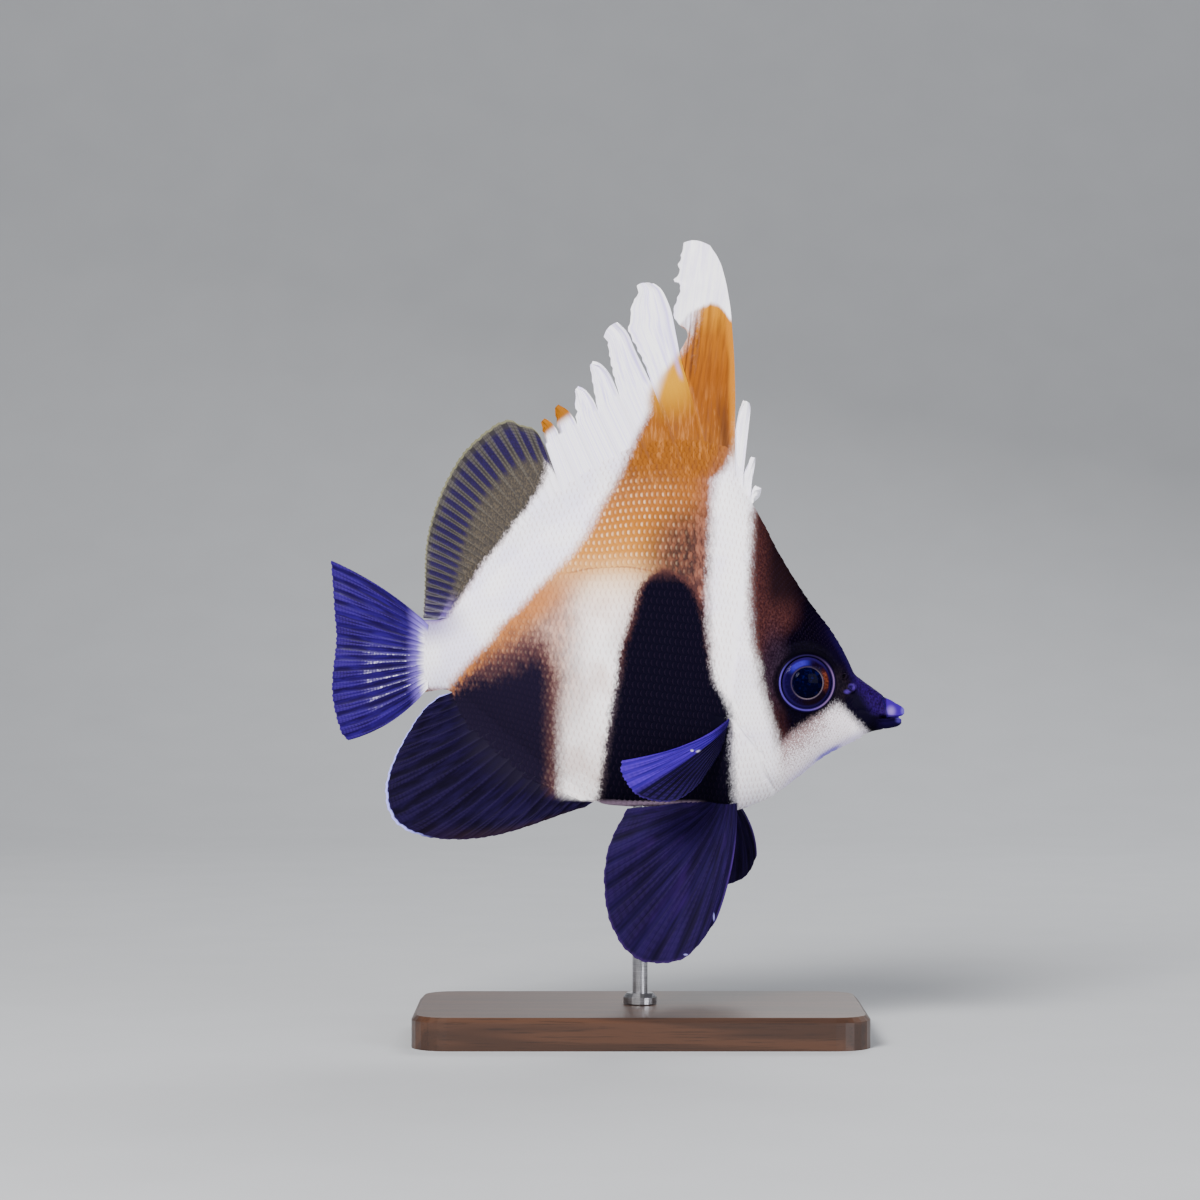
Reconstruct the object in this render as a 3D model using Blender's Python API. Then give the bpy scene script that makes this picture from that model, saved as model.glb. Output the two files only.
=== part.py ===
"""A phantom bannerfish as a still, life-size display model on a plain stand.

The snout points to +X and the back to +Z, so the fish's right side faces -Y. The origin is the
middle of the stand's underside. Sizes in this file are millimetres, and solid() makes metres of them.
"""

import math

import bmesh
import bpy
import numpy as np
from mathutils import Matrix, Vector

MM = 0.001
GAP = 0.3  # kept between pieces that touch
SHARP_ANGLE = math.radians(35)

# Body outline in (x, z), from the tail root to the mouth, without the fins
BACK_POINTS = [
    (-53.8, 104.0), (-49.0, 104.7), (-45.5, 107.7), (-35.0, 117.0), (-25.0, 125.2), (-15.0, 132.8),
    (-5.0, 138.5), (5.0, 141.5), (15.0, 142.2), (22.5, 139.4), (28.3, 132.6), (35.0, 120.2),
    (43.8, 106.5), (48.0, 101.0), (52.0, 94.0), (53.6, 90.6), (55.0, 89.4), (58.8, 86.6), (61.2, 84.8),
]
BELLY_POINTS = [
    (-53.8, 86.0), (-48.5, 86.6), (-42.5, 83.5), (-35.0, 77.2), (-25.0, 68.6), (-16.0, 62.2),
    (-10.0, 58.4), (-4.0, 57.5), (5.0, 57.4), (15.0, 57.0), (23.8, 56.4), (26.5, 57.3),
    (32.5, 59.8), (40.0, 65.2), (45.0, 69.3), (52.5, 73.4), (57.5, 76.0), (61.2, 76.8),
]
HALF_WIDTH_POINTS = [
    (-53.8, 2.5), (-47.0, 3.2), (-36.0, 5.2), (-22.0, 8.2), (-6.0, 10.3), (10.0, 11.4), (22.0, 11.4),
    (30.0, 10.7), (37.0, 9.5), (43.0, 8.0), (48.0, 6.2), (52.5, 4.5), (57.0, 3.2), (61.2, 2.5),
]
# Height of the widest place, as a share of the depth up from the belly
WIDEST_SHARE = [(-53.8, 0.5), (-30.0, 0.5), (-5.0, 0.44), (15.0, 0.4), (28.0, 0.42), (41.0, 0.5), (61.2, 0.5)]
# How full a section is: near 1 it closes as a wedge under a fin, near 0.5 it is round
BACK_FULLNESS = [(-53.8, 0.6), (-49.0, 0.65), (-43.0, 0.95), (20.0, 0.95), (29.0, 0.75), (36.0, 0.6)]
BELLY_FULLNESS = [(-53.8, 0.6), (-49.0, 0.65), (-43.0, 0.95), (-14.0, 0.95), (-5.0, 0.55)]
FIN_SEAT = 1.3  # half the width of the flat that a fin stands on
BACK_EDGE = [(-53.8, 0.4), (-47.5, 0.6), (-46.4, FIN_SEAT), (28.2, FIN_SEAT), (30.5, 0.6), (36.0, 0.4)]
BELLY_EDGE = [(-53.8, 0.4), (-47.5, 0.6), (-46.4, FIN_SEAT), (-10.0, FIN_SEAT), (-7.0, 0.6), (0.0, 0.4)]

TAIL_END = -53.8
TAIL_CUT = -46.5
MOUTH_CUT = 61.2
# The gill opening as (z, x), from the throat up to the nape
GILL_POINTS = [
    (60.5, 34.0), (66.0, 31.2), (73.2, 28.2), (77.0, 25.2), (79.5, 23.8), (84.5, 22.8),
    (91.8, 23.4), (109.0, 25.6), (120.0, 27.3), (133.0, 29.5),
]
GILL_STEP = 0.5  # how far the gill cover's free edge stands proud
GILL_REACH = 7.0
RING_STEPS = 18

# Eyes
EYE_X = 41.25
EYE_Z = 88.5
EYE_RADIUS = 6.4
ORBIT_RADIUS = 7.15
ORBIT_TUBE = 0.75
SOCKET_DEPTH = 3.2
EYE_DOME = [(0.0, 1.9), (1.9, 1.75), (3.3, 1.3), (3.7, 1.05), (5.2, 0.6), (6.0, 0.15), (6.4, -0.4)]
EYE_SEGMENTS = 28
NOSTRILS = [(50.75, 90.0, 0.75), (52.5, 87.0, 0.6)]  # x, z, radius

# Jaws: x, height of the outer edge, height of the mouth's edge and half width of each section
UPPER_JAW = [
    (61.5, 84.65, 79.95, 2.46), (62.8, 83.95, 79.9, 2.32), (64.0, 83.2, 79.9, 2.05),
    (65.0, 82.65, 80.05, 1.65), (65.65, 82.2, 80.3, 1.15), (66.05, 81.7, 80.75, 0.5),
]
LOWER_JAW = [
    (61.5, 76.85, 79.45, 2.44), (62.6, 77.0, 79.45, 2.22), (63.6, 77.2, 79.4, 1.92),
    (64.5, 77.5, 79.3, 1.5), (65.05, 77.85, 79.15, 1.0), (65.35, 78.25, 78.95, 0.45),
]
JAW_STEPS = 8
JAW_EDGE = 0.16  # width left at a section's outer edge, as a share of its full width
LIP_ROLL = 0.3
LIP_PLACE = 0.15  # the lip's crest and its spread, as shares of a section's height from the mouth
LIP_SPREAD = 0.13

# Fin thickness: half of it on the membrane, and how far a ray's ridge stands above that
MEMBRANE = 0.26
RAY_RIDGE = 0.24
SPINE_RIDGE = 0.5
LOBE_ARCH = 0.16  # how far a lobe's tip is rounded out, as a share of the lobe's width there
RIM = 0.16
SHEATH_FADE = 5.5  # how quickly the scaly sheath at a fin's root thins out
RIDGE_FOOT = 0.27  # half of a ridge's width, as a share of the space between two rays

# Spiny dorsal fin: for each lobe the root of its spine, its front edge and its back edge in (x, z)
DORSAL_LOBES = [
    (28.1, [(28.3, 133.4), (29.5, 137.3)], [(29.2, 137.4), (28.2, 136.7), (27.6, 136.2)], 3),
    (27.3, [(27.6, 136.2), (28.0, 140.0), (28.4, 144.5)], [(28.0, 144.6), (26.8, 143.3), (25.7, 141.2)], 3),
    (26.0, [(25.7, 141.2), (26.4, 147.0), (27.2, 155.0), (27.1, 158.0)],
     [(26.0, 158.8), (24.8, 156.0), (23.8, 151.5)], 5),
    (24.0, [(23.8, 151.5), (23.7, 164.0), (23.2, 174.0), (22.2, 184.0), (20.0, 194.0), (17.0, 198.2)],
     [(10.5, 198.0), (9.3, 193.5), (8.8, 189.3), (10.1, 186.2), (8.6, 182.3), (10.0, 178.2), (11.7, 176.0),
      (10.3, 171.5), (11.2, 167.7), (12.0, 163.0)], 14),
    (17.5, [(12.0, 163.0), (10.1, 169.5), (9.0, 175.0), (7.6, 181.5), (5.5, 186.2), (3.4, 187.8)],
     [(-0.8, 187.2), (-2.0, 182.0), (-2.4, 177.0), (-0.5, 171.5), (1.5, 167.2), (3.0, 162.7)], 8),
    (10.75, [(3.0, 162.7), (0.8, 167.2), (-1.3, 171.5), (-3.2, 175.8), (-5.7, 178.3)],
     [(-9.0, 174.8), (-8.0, 173.4), (-7.5, 170.0), (-6.5, 165.0), (-5.0, 159.7)], 6),
    (3.75, [(-5.0, 159.7), (-7.4, 165.0), (-9.8, 167.7), (-11.9, 168.4)],
     [(-12.2, 167.6), (-11.6, 162.7), (-10.5, 156.2)], 4),
    (-2.5, [(-10.5, 156.2), (-11.7, 159.0), (-13.7, 161.4), (-15.6, 162.2)],
     [(-16.0, 161.4), (-16.0, 157.5), (-15.7, 152.7)], 4),
    (-8.5, [(-15.7, 152.7), (-16.7, 154.6), (-18.4, 156.6), (-20.6, 157.6)],
     [(-21.0, 156.9), (-20.8, 153.5), (-20.2, 150.0)], 3),
    (-13.5, [(-20.2, 150.0), (-21.0, 151.6), (-22.5, 153.2), (-24.1, 154.1)],
     [(-24.5, 153.5), (-24.1, 151.0), (-23.5, 147.7)], 3),
]
SPINY_END = -18.0  # where the last spine of the lobes above hands over to the soft part
BAND_ROWS = 4

# Soft dorsal fin
SOFT_DORSAL_ROOT = (-18.35, -45.9)
SOFT_DORSAL_EDGE = [
    (-23.85, 147.6), (-26.2, 151.7), (-30.0, 153.0), (-33.2, 154.2), (-37.7, 152.0), (-44.2, 146.0),
    (-49.0, 138.0), (-52.0, 130.0), (-53.7, 122.0), (-54.0, 111.0), (-54.7, 105.7),
]
SOFT_DORSAL_RAYS = 24

# Anal fin
ANAL_ROOT = (-10.6, -45.9)
ANAL_EDGE = [
    (-14.0, 57.3), (-17.5, 56.2), (-30.0, 51.7), (-38.7, 49.6), (-46.2, 49.0), (-54.0, 49.8), (-60.0, 52.3),
    (-63.0, 56.4), (-63.7, 62.2), (-62.2, 68.0), (-59.0, 74.5), (-54.5, 81.3), (-50.2, 85.0),
]
ANAL_RAYS = 20

# Tail fin
TAIL_FIN_TOP = [(-54.1, 103.7), (-61.7, 109.9), (-72.5, 117.6), (-77.5, 119.0)]
TAIL_FIN_BOTTOM = [(-54.1, 86.3), (-60.5, 80.0), (-67.0, 75.4), (-73.2, 73.8)]
TAIL_FIN_EDGE = [
    (-77.5, 119.0), (-76.6, 106.0), (-76.2, 99.0), (-77.2, 89.0), (-76.9, 83.0), (-75.0, 76.0), (-73.2, 73.8),
]
TAIL_FIN_RAYS = 17
TAIL_SWAY = 2.0

# Paired fins, as seen from the side
PECTORAL_ROOT = [(22.4, 80.6), (21.4, 74.2)]
PECTORAL_BEND = [(15.0, 73.2), (20.4, 71.0)]
PECTORAL_EDGE = [
    (-4.8, 69.7), (-4.9, 66.8), (-2.5, 62.7), (0.0, 60.7), (5.0, 59.3), (10.0, 60.0), (15.0, 63.8), (16.9, 67.8),
]
PECTORAL_RAYS = 13
PECTORAL_FLARE = 0.38
PECTORAL_BASE = 3.0  # length of the fin's base that lies along the flank before it flares
PECTORAL_SEAT = 0.5  # half the thickness of that base
PELVIC_ROOT = [(24.0, 59.6), (17.2, 59.6)]
PELVIC_BEND = [(24.6, 44.0), (11.0, 55.6)]
PELVIC_EDGE = [
    (18.7, 29.5), (14.2, 23.3), (10.0, 19.9), (5.0, 19.0), (0.0, 19.6), (-4.5, 23.2), (-8.0, 30.2),
    (-9.1, 38.0), (-8.9, 43.0), (-7.5, 49.0), (-3.6, 55.4),
]
PELVIC_RAYS = 12
PELVIC_SEAT = 3.5
NEAR_PELVIC_SPLAY = math.radians(9)
FAR_PELVIC_SPLAY = math.radians(53)
FAR_PELVIC_SWING = math.radians(24)
FAR_PELVIC_SIZE = 0.86
FAR_PELVIC_SHIFT = 1.4

# Stand
BASE_SIZE = (112.0, 62.0, 8.0)
BASE_CORNER = 9.0
BASE_BEVEL = 1.2
ROD_RADIUS = 1.9
ROD_TOP = 60.5
COLLAR_RADIUS = 4.2
COLLAR_HEIGHT = 2.6


def blend(a, b, share):
    return a + (b - a) * share


def ease(value):
    """0 below 0, 1 above 1, and a smooth step between."""
    value = min(max(value, 0.0), 1.0)
    return value * value * (3 - 2 * value)


def smooth_curve(points):
    """A smooth function of the first number through the points."""
    xs, ys = np.array(points, float).T
    slopes = np.gradient(ys, xs)

    def at(x):
        x = min(max(x, xs[0]), xs[-1])
        i = min(int(np.searchsorted(xs, x, side="right")) - 1, len(xs) - 2)
        width = xs[i + 1] - xs[i]
        t = (x - xs[i]) / width
        start = ys[i] * (1 + 2 * t) * (1 - t) ** 2 + slopes[i] * width * t * (1 - t) ** 2
        end = ys[i + 1] * t * t * (3 - 2 * t) - slopes[i + 1] * width * t * t * (1 - t)
        return float(start + end)

    return at


def path(points, steps=12):
    """A smooth line through the points, as a function of the share of its length."""
    knots = [np.array(p, float) for p in points]
    knots = [2 * knots[0] - knots[1]] + knots + [2 * knots[-1] - knots[-2]]
    line = []
    for a, b, c, d in zip(knots, knots[1:], knots[2:], knots[3:]):
        for i in range(steps):
            t = i / steps
            tangent = (c - a) / 2 * t + (2 * a - 5 * b + 4 * c - d) / 2 * t * t
            line.append(b + tangent + (3 * b - a - 3 * c + d) / 2 * t**3)
    line.append(knots[-2])
    line = np.array(line)
    lengths = np.concatenate([[0], np.cumsum(np.linalg.norm(np.diff(line, axis=0), axis=1))])

    def at(share):
        where = share * lengths[-1]
        return np.array([np.interp(where, lengths, line[:, 0]), np.interp(where, lengths, line[:, 1])])

    return at


def table(points):
    """Straight lines between the points, level past both ends."""
    xs, ys = zip(*points)
    return lambda x: float(np.interp(x, xs, ys))


back = smooth_curve(BACK_POINTS)
belly = smooth_curve(BELLY_POINTS)
half_width = smooth_curve(HALF_WIDTH_POINTS)
gill_line = smooth_curve(GILL_POINTS)
widest_share = smooth_curve(WIDEST_SHARE)
back_fullness, belly_fullness = table(BACK_FULLNESS), table(BELLY_FULLNESS)
back_edge, belly_edge = table(BACK_EDGE), table(BELLY_EDGE)


def half_thickness(x, z):
    """Half the body's thickness at a point of its side view."""
    low, high = belly(x), back(x)
    widest = blend(low, high, widest_share(x))
    if z > widest:
        reach, fullness, edge = (z - widest) / (high - widest), back_fullness(x), back_edge(x)
    else:
        reach, fullness, edge = (widest - z) / (widest - low), belly_fullness(x), belly_edge(x)
    power = 2.2 - 1.5 * (fullness - 0.55)
    return edge + (half_width(x) - edge) * max(0.0, 1 - min(reach, 1.0) ** power) ** fullness


def gill_raise(x, z):
    """The gill cover swells towards its free edge, between the throat and the top of the opening."""
    ahead = 1 - ease((x - gill_line(z)) / GILL_REACH)
    return GILL_STEP * ahead * ease((z - 61.5) / 5) * ease((98 - z) / 6)


def plain(_x, _z):
    return 0.0


def material(name, colour, roughness, metallic=0.0):
    made = bpy.data.materials.new(name)
    made.use_nodes = True
    shader = made.node_tree.nodes["Principled BSDF"]
    shader.inputs["Base Color"].default_value = (*colour, 1)
    shader.inputs["Roughness"].default_value = roughness
    shader.inputs["Metallic"].default_value = metallic
    made.diffuse_color = (*colour, 1)
    return made


def solid(name, points, faces, colour, roughness=0.45):
    """An object of its own from points in millimetres, faces outwards and round where it is round."""
    mesh = bpy.data.meshes.new(name)
    mesh.from_pydata([Vector(p) * MM for p in points], [], faces)
    shape = bmesh.new()
    shape.from_mesh(mesh)
    bmesh.ops.recalc_face_normals(shape, faces=shape.faces)
    shape.to_mesh(mesh)
    shape.free()
    mesh.shade_smooth()
    mesh.set_sharp_from_angle(angle=SHARP_ANGLE)
    mesh.materials.append(material(name, colour, roughness))
    made = bpy.data.objects.new(name, mesh)
    bpy.context.scene.collection.objects.link(made)
    return made


def combine(target, tool, operation):
    """Applies one Boolean to the target, removes the tool and keeps the largest closed surface."""
    modifier = target.modifiers.new(operation, "BOOLEAN")
    modifier.operation = operation
    modifier.object = tool
    with bpy.context.temp_override(object=target, active_object=target, selected_objects=[target]):
        bpy.ops.object.modifier_apply(modifier=modifier.name)
    bpy.data.objects.remove(tool)
    shape = bmesh.new()
    shape.from_mesh(target.data)
    bmesh.ops.dissolve_degenerate(shape, edges=shape.edges, dist=0.001 * MM)
    islands = []
    unseen = set(shape.verts)
    while unseen:
        island = []
        todo = [unseen.pop()]
        while todo:
            vert = todo.pop()
            island.append(vert)
            for edge in vert.link_edges:
                other = edge.other_vert(vert)
                if other in unseen:
                    unseen.remove(other)
                    todo.append(other)
        islands.append(island)
    islands.sort(key=len)
    for island in islands[:-1]:
        bmesh.ops.delete(shape, geom=island, context="VERTS")
    shape.to_mesh(target.data)
    shape.free()
    target.data.set_sharp_from_angle(angle=SHARP_ANGLE)


def cut_line(cut):
    """Points up a cut from belly to back, as (x, share of the depth there)."""
    ends = []
    for outline, start in ((belly, 60.0), (back, 130.0)):
        z = start
        for _ in range(60):
            z = blend(z, outline(cut(z)), 0.5)
        ends.append(z)
    line = []
    for i in range(RING_STEPS + 1):
        share = (1 - math.cos(math.pi * i / RING_STEPS)) / 2
        z = blend(*ends, share)
        x = cut(z)
        line.append((x, (z - belly(x)) / (back(x) - belly(x))))
    return line


def body_length(name, rear_cut, front_cut, steps, relief, colour):
    """A closed length of the body between two cuts, each a function that gives x at a height."""
    rear, front = cut_line(rear_cut), cut_line(front_cut)
    points, faces = [], []
    ring = 2 * (RING_STEPS + 1)
    for i in range(steps + 1):
        side = []
        for (rear_x, rear_share), (front_x, front_share) in zip(rear, front):
            x = blend(rear_x, front_x, i / steps)
            z = blend(belly(x), back(x), blend(rear_share, front_share, i / steps))
            side.append((x, half_thickness(x, z) + relief(x, z), z))
        points += [(x, -y, z) for x, y, z in side] + side[::-1]
    for i in range(steps):
        for j in range(ring):
            here, there = i * ring, (i + 1) * ring
            faces.append((here + j, here + (j + 1) % ring, there + (j + 1) % ring, there + j))
    for start in (0, steps * ring):
        for j in range(RING_STEPS):
            faces.append((start + j, start + j + 1, start + ring - 2 - j, start + ring - 1 - j))
    return solid(name, points, faces, colour)


def grown(source, by):
    """A copy of a solid with every point moved out along its normal."""
    tool = bpy.data.objects.new("grown", source.data.copy())
    bpy.context.scene.collection.objects.link(tool)
    for vert, normal in zip(tool.data.vertices, [v.normal.copy() for v in source.data.vertices]):
        vert.co += normal * by * MM
    return tool


def surface_frame(x, z, side):
    """A frame on the body's side with its origin on the skin and Z pointing out, in metres."""
    step = 0.5
    along = (half_thickness(x + step, z) - half_thickness(x - step, z)) / (2 * step)
    up = (half_thickness(x, z + step) - half_thickness(x, z - step)) / (2 * step)
    turn = Vector((-along, side, -up)).to_track_quat("Z", "Y").to_matrix().to_4x4()
    return Matrix.Translation(Vector((x, side * half_thickness(x, z), z)) * MM) @ turn


def turned(name, profile, segments, frame, colour, roughness=0.2):
    """A solid turned about the frame's Z axis from (radius, height) points between two on the axis."""
    points = [(0, 0, profile[0][1]), (0, 0, profile[-1][1])]
    inner = profile[1:-1]
    for radius, height in inner:
        for k in range(segments):
            angle = 2 * math.pi * k / segments
            points.append((radius * math.cos(angle), radius * math.sin(angle), height))
    faces = []
    for k in range(segments):
        after = (k + 1) % segments
        faces.append((0, 2 + k, 2 + after))
        last = 2 + (len(inner) - 1) * segments
        faces.append((1, last + after, last + k))
        for row in range(len(inner) - 1):
            here = 2 + row * segments
            faces.append((here + k, here + segments + k, here + segments + after, here + after))
    placed = [frame @ (Vector(p) * MM) / MM for p in points]
    return solid(name, placed, faces, colour, roughness)


def ring_tool(frame, radius, tube):
    """A torus round the frame's Z axis, to be joined to a head."""
    points, faces = [], []
    around, across = 32, 8
    for i in range(around):
        turn = 2 * math.pi * i / around
        for j in range(across):
            angle = 2 * math.pi * j / across
            reach = radius + tube * math.cos(angle)
            points.append((reach * math.cos(turn), reach * math.sin(turn), tube * math.sin(angle)))
    for i in range(around):
        for j in range(across):
            here, there, after = i * across, (i + 1) % around * across, (j + 1) % across
            faces.append((here + j, there + j, there + after, here + after))
    placed = [frame @ (Vector(p) * MM) / MM for p in points]
    return solid("orbit_tool", placed, faces, (0, 0, 0))


def make_head(colour):
    """The head from the gill opening to the jaws, with orbit rims, eye sockets and nostrils."""
    head = body_length(
        "head", lambda z: gill_line(z) + GAP * 0.6, lambda z: MOUTH_CUT, 14, gill_raise, colour
    )
    for side in (-1, 1):
        frame = surface_frame(EYE_X, EYE_Z, side)
        combine(head, ring_tool(frame, ORBIT_RADIUS, ORBIT_TUBE), "UNION")
        room = EYE_RADIUS + GAP
        well = [(0, 4), (room, 4), (room, -SOCKET_DEPTH), (0, -SOCKET_DEPTH)]
        combine(head, turned("socket_tool", well, EYE_SEGMENTS, frame, (0, 0, 0)), "DIFFERENCE")
        for x, z, radius in NOSTRILS:
            frame = surface_frame(x, z, side)
            dent = [(0, 1), (radius, 0.6), (radius * 0.7, -0.7), (0, -0.9)]
            combine(head, turned("nostril_tool", dent, 10, frame, (0, 0, 0)), "DIFFERENCE")
    return head


def make_eye(name, side):
    frame = surface_frame(EYE_X, EYE_Z, side)
    rear = GAP - SOCKET_DEPTH
    profile = EYE_DOME + [(EYE_RADIUS, rear), (0, rear)]
    return turned(name, profile, EYE_SEGMENTS, frame, (0.02, 0.02, 0.12), 0.12)


def make_jaw(name, sections, colour):
    """A jaw lofted from half-round sections that carry on the head's own, its lip rolled outwards."""
    points, faces = [], []
    for x, outer, mouth, width in sections:
        side = []
        for k in range(JAW_STEPS + 1):
            share = (1 - math.cos(math.pi * k / JAW_STEPS)) / 2
            edge = JAW_EDGE * width
            y = edge + (width - edge) * (1 - share**2.1) ** 0.6
            y += LIP_ROLL * width / 2.5 * (math.exp(-(((share - LIP_PLACE) / LIP_SPREAD) ** 2)) - (k == 0))
            side.append((x, y, blend(mouth, outer, share)))
        points += [(x, -y, z) for x, y, z in side] + side[::-1]
    ring = 2 * (JAW_STEPS + 1)
    for i in range(len(sections) - 1):
        for j in range(ring):
            here, there = i * ring, (i + 1) * ring
            faces.append((here + j, here + (j + 1) % ring, there + (j + 1) % ring, there + j))
    for start in (0, len(points) - ring):
        for j in range(JAW_STEPS):
            faces.append((start + j, start + j + 1, start + ring - 2 - j, start + ring - 1 - j))
    return solid(name, points, faces, colour)


class Sheet:
    """A thin solid given by its middle surface and half its thickness at each point."""

    def __init__(self):
        self.points = []
        self.halves = []
        self.places = {}
        self.cells = []

    def point(self, place, half):
        key = tuple(round(float(v), 3) for v in place)
        if key not in self.places:
            self.places[key] = len(self.points)
            self.points.append(Vector([float(v) for v in place]))
            self.halves.append(half)
        return self.places[key]

    def patch(self, columns):
        """Joins columns of (place, half) pairs, all of one length, by four-sided cells."""
        grid = [[self.point(*pair) for pair in column] for column in columns]
        for left, right in zip(grid, grid[1:]):
            for row in range(len(left) - 1):
                cell = []
                for corner in (left[row], right[row], right[row + 1], left[row + 1]):
                    if corner not in cell:
                        cell.append(corner)
                if len(cell) > 2:
                    self.cells.append(cell)

    def thicken(self, name, colour, roughness=0.4):
        """The closed solid, with triangles alike on both faces."""
        normals = [Vector((0, 0, 0)) for _ in self.points]
        for cell in self.cells:
            corners = [self.points[i] for i in cell]
            normal = (corners[2] - corners[0]).cross(corners[-1] - corners[1])
            for i in cell:
                normals[i] += normal
        count = len(self.points)
        points = []
        for sign in (1, -1):
            for place, normal, half in zip(self.points, normals, self.halves):
                points.append(place + normal.normalized() * half * sign)
        faces, borders = [], {}
        for cell in self.cells:
            for k in range(1, len(cell) - 1):
                a, b, c = cell[0], cell[k], cell[k + 1]
                faces += [(a, b, c), (c + count, b + count, a + count)]
            for a, b in zip(cell, cell[1:] + cell[:1]):
                borders[(a, b)] = True
        for a, b in borders:
            if (b, a) not in borders:
                faces.append((b, a, a + count, b + count))
        return solid(name, points, faces, colour, roughness)


def crest_columns(rays):
    """Shares across a fan of rays, as (share, is a crest): each ray is a crest between two feet."""
    columns = []
    for ray in range(rays):
        if ray:
            columns.append(((ray - RIDGE_FOOT) / (rays - 1), False))
        columns.append((ray / (rays - 1), True))
        if ray < rays - 1:
            columns.append(((ray + RIDGE_FOOT) / (rays - 1), False))
    return columns


def fin_half(distance, share, ridge, seat=FIN_SEAT):
    """Half the fin's thickness: sheath at the root, membrane, ridge, and a thin rim at the edge."""
    sheath = (seat - MEMBRANE) * math.exp(-distance / SHEATH_FADE)
    rise = ridge * ease(distance / 3) * (1 - 0.55 * share)
    rim = (MEMBRANE + rise - RIM) * ease((share - 0.86) / 0.14)
    return MEMBRANE + sheath + rise - rim


def bent_line(start, control, end, share):
    """A point of the curve that leaves the start for the control point and arrives from it."""
    return blend(blend(start, control, share), blend(control, end, share), share)


def fan(root, edge, control, place, rays, rows, seat=FIN_SEAT):
    """A fin of rays from a root line to an edge line, placed in space by place(x, z, share)."""
    sheet = Sheet()
    columns = []
    for across, crest in crest_columns(rays):
        start, end = root(across), edge(across)
        bend = control(across, start, end)
        column, before, distance = [], start, 0.0
        for row in range(rows + 1):
            share = (row / rows) ** 1.25
            spot = bent_line(start, bend, end, share)
            distance += float(np.linalg.norm(spot - before))
            before = spot
            half = fin_half(distance, share, RAY_RIDGE if crest else 0.0, seat)
            column.append((place(spot[0], spot[1], share, across), half))
        columns.append(column)
    sheet.patch(columns)
    return sheet


def flat_place(x, z, _share, _across):
    return (x, 0.0, z)


def seat_on(outline, x, out):
    """The point that lies GAP off the body's edge at x, outwards above or below."""
    slope = (outline(x + 0.2) - outline(x - 0.2)) / 0.4
    away = np.array([-slope, 1.0]) * out / math.hypot(slope, 1)
    return np.array([x, outline(x)]) + away * GAP


def spine_half(distance, share, across):
    """The front edge of each lobe is its spine, and the membrane behind it lies lower."""
    ridge = SPINE_RIDGE * max(0.0, 1 - across / 0.3) if across < 0.5 else 0.0
    behind = SPINE_RIDGE * max(0.0, (across - 0.75) / 0.25) if across > 0.75 else 0.0
    return fin_half(distance, share * 0.85, max(ridge, behind))


def make_spiny_dorsal(colour):
    """The ten free lobes, each behind its spine, over one scaly band along the back."""
    sheet = Sheet()
    roots = [lobe[0] for lobe in DORSAL_LOBES] + [SPINY_END]
    for index, (_, front, rear, rows) in enumerate(DORSAL_LOBES):
        front_line, rear_line = path(front), path(rear[::-1])
        tip = front_line(1) - front_line(0.85) + rear_line(1) - rear_line(0.85)
        arch = LOBE_ARCH * np.linalg.norm(front_line(1) - rear_line(1)) * tip / np.linalg.norm(tip)
        wide = roots[index] - roots[index + 1] > 2.2
        shares = [0, 0.12, 0.26, 0.52, 0.8, 1] if wide and rows > 5 else [0, 0.25, 0.72, 1]
        low_front, low_rear = np.array(front[0]), np.array(rear[-1])
        band, lobe = [], []
        for across in shares:
            start = seat_on(back, blend(roots[index], roots[index + 1], across), 1)
            end = blend(low_front, low_rear, across)
            length = float(np.linalg.norm(end - start))
            column = []
            for row in range(BAND_ROWS + 1):
                share = (row / BAND_ROWS) ** 1.3
                spot = blend(start, end, share)
                half = spine_half(length * share, share * 0.3, across)
                column.append(((spot[0], 0.0, spot[1]), half))
            band.append(column)
            free = []
            for row in range(rows + 1):
                share = row / rows
                spot = blend(front_line(share), rear_line(share), across)
                spot = spot + arch * 4 * across * (1 - across) * share**6
                half = spine_half(length + 10 * share, 0.3 + 0.7 * share, across * (1 - 0.4 * share))
                free.append(((spot[0], 0.0, spot[1]), half))
            lobe.append(free)
        sheet.patch(band)
        for column, band_column in zip(lobe, band):
            column[0] = band_column[-1]
        sheet.patch(lobe)
    return sheet.thicken("dorsal_fin_spinous", colour)


def make_soft_dorsal(colour):
    edge = path(SOFT_DORSAL_EDGE)

    def root(across):
        return seat_on(back, blend(*SOFT_DORSAL_ROOT, across), 1)

    def bend(across, start, end):
        angle = math.radians(10 + 66 * (1 - across**0.7) ** 1.2)
        reach = 0.5 * np.linalg.norm(end - start)
        curved = end + reach * np.array([math.cos(angle), -math.sin(angle)])
        return blend(blend(start, end, 0.5), curved, ease(across * 6))

    sheet = fan(root, lambda across: edge(across**0.72), bend, flat_place, SOFT_DORSAL_RAYS, 5)
    return sheet.thicken("dorsal_fin_soft", colour)


def make_anal(colour):
    edge = path(ANAL_EDGE)

    def root(across):
        return seat_on(belly, blend(*ANAL_ROOT, across), -1)

    def bend(across, start, end):
        angle = math.radians(40 - 26 * across)
        reach = 0.4 * np.linalg.norm(end - start)
        return end + reach * np.array([math.cos(angle), math.sin(angle)])

    sheet = fan(root, edge, bend, flat_place, ANAL_RAYS, 5)
    return sheet.thicken("anal_fin", colour)


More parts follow.
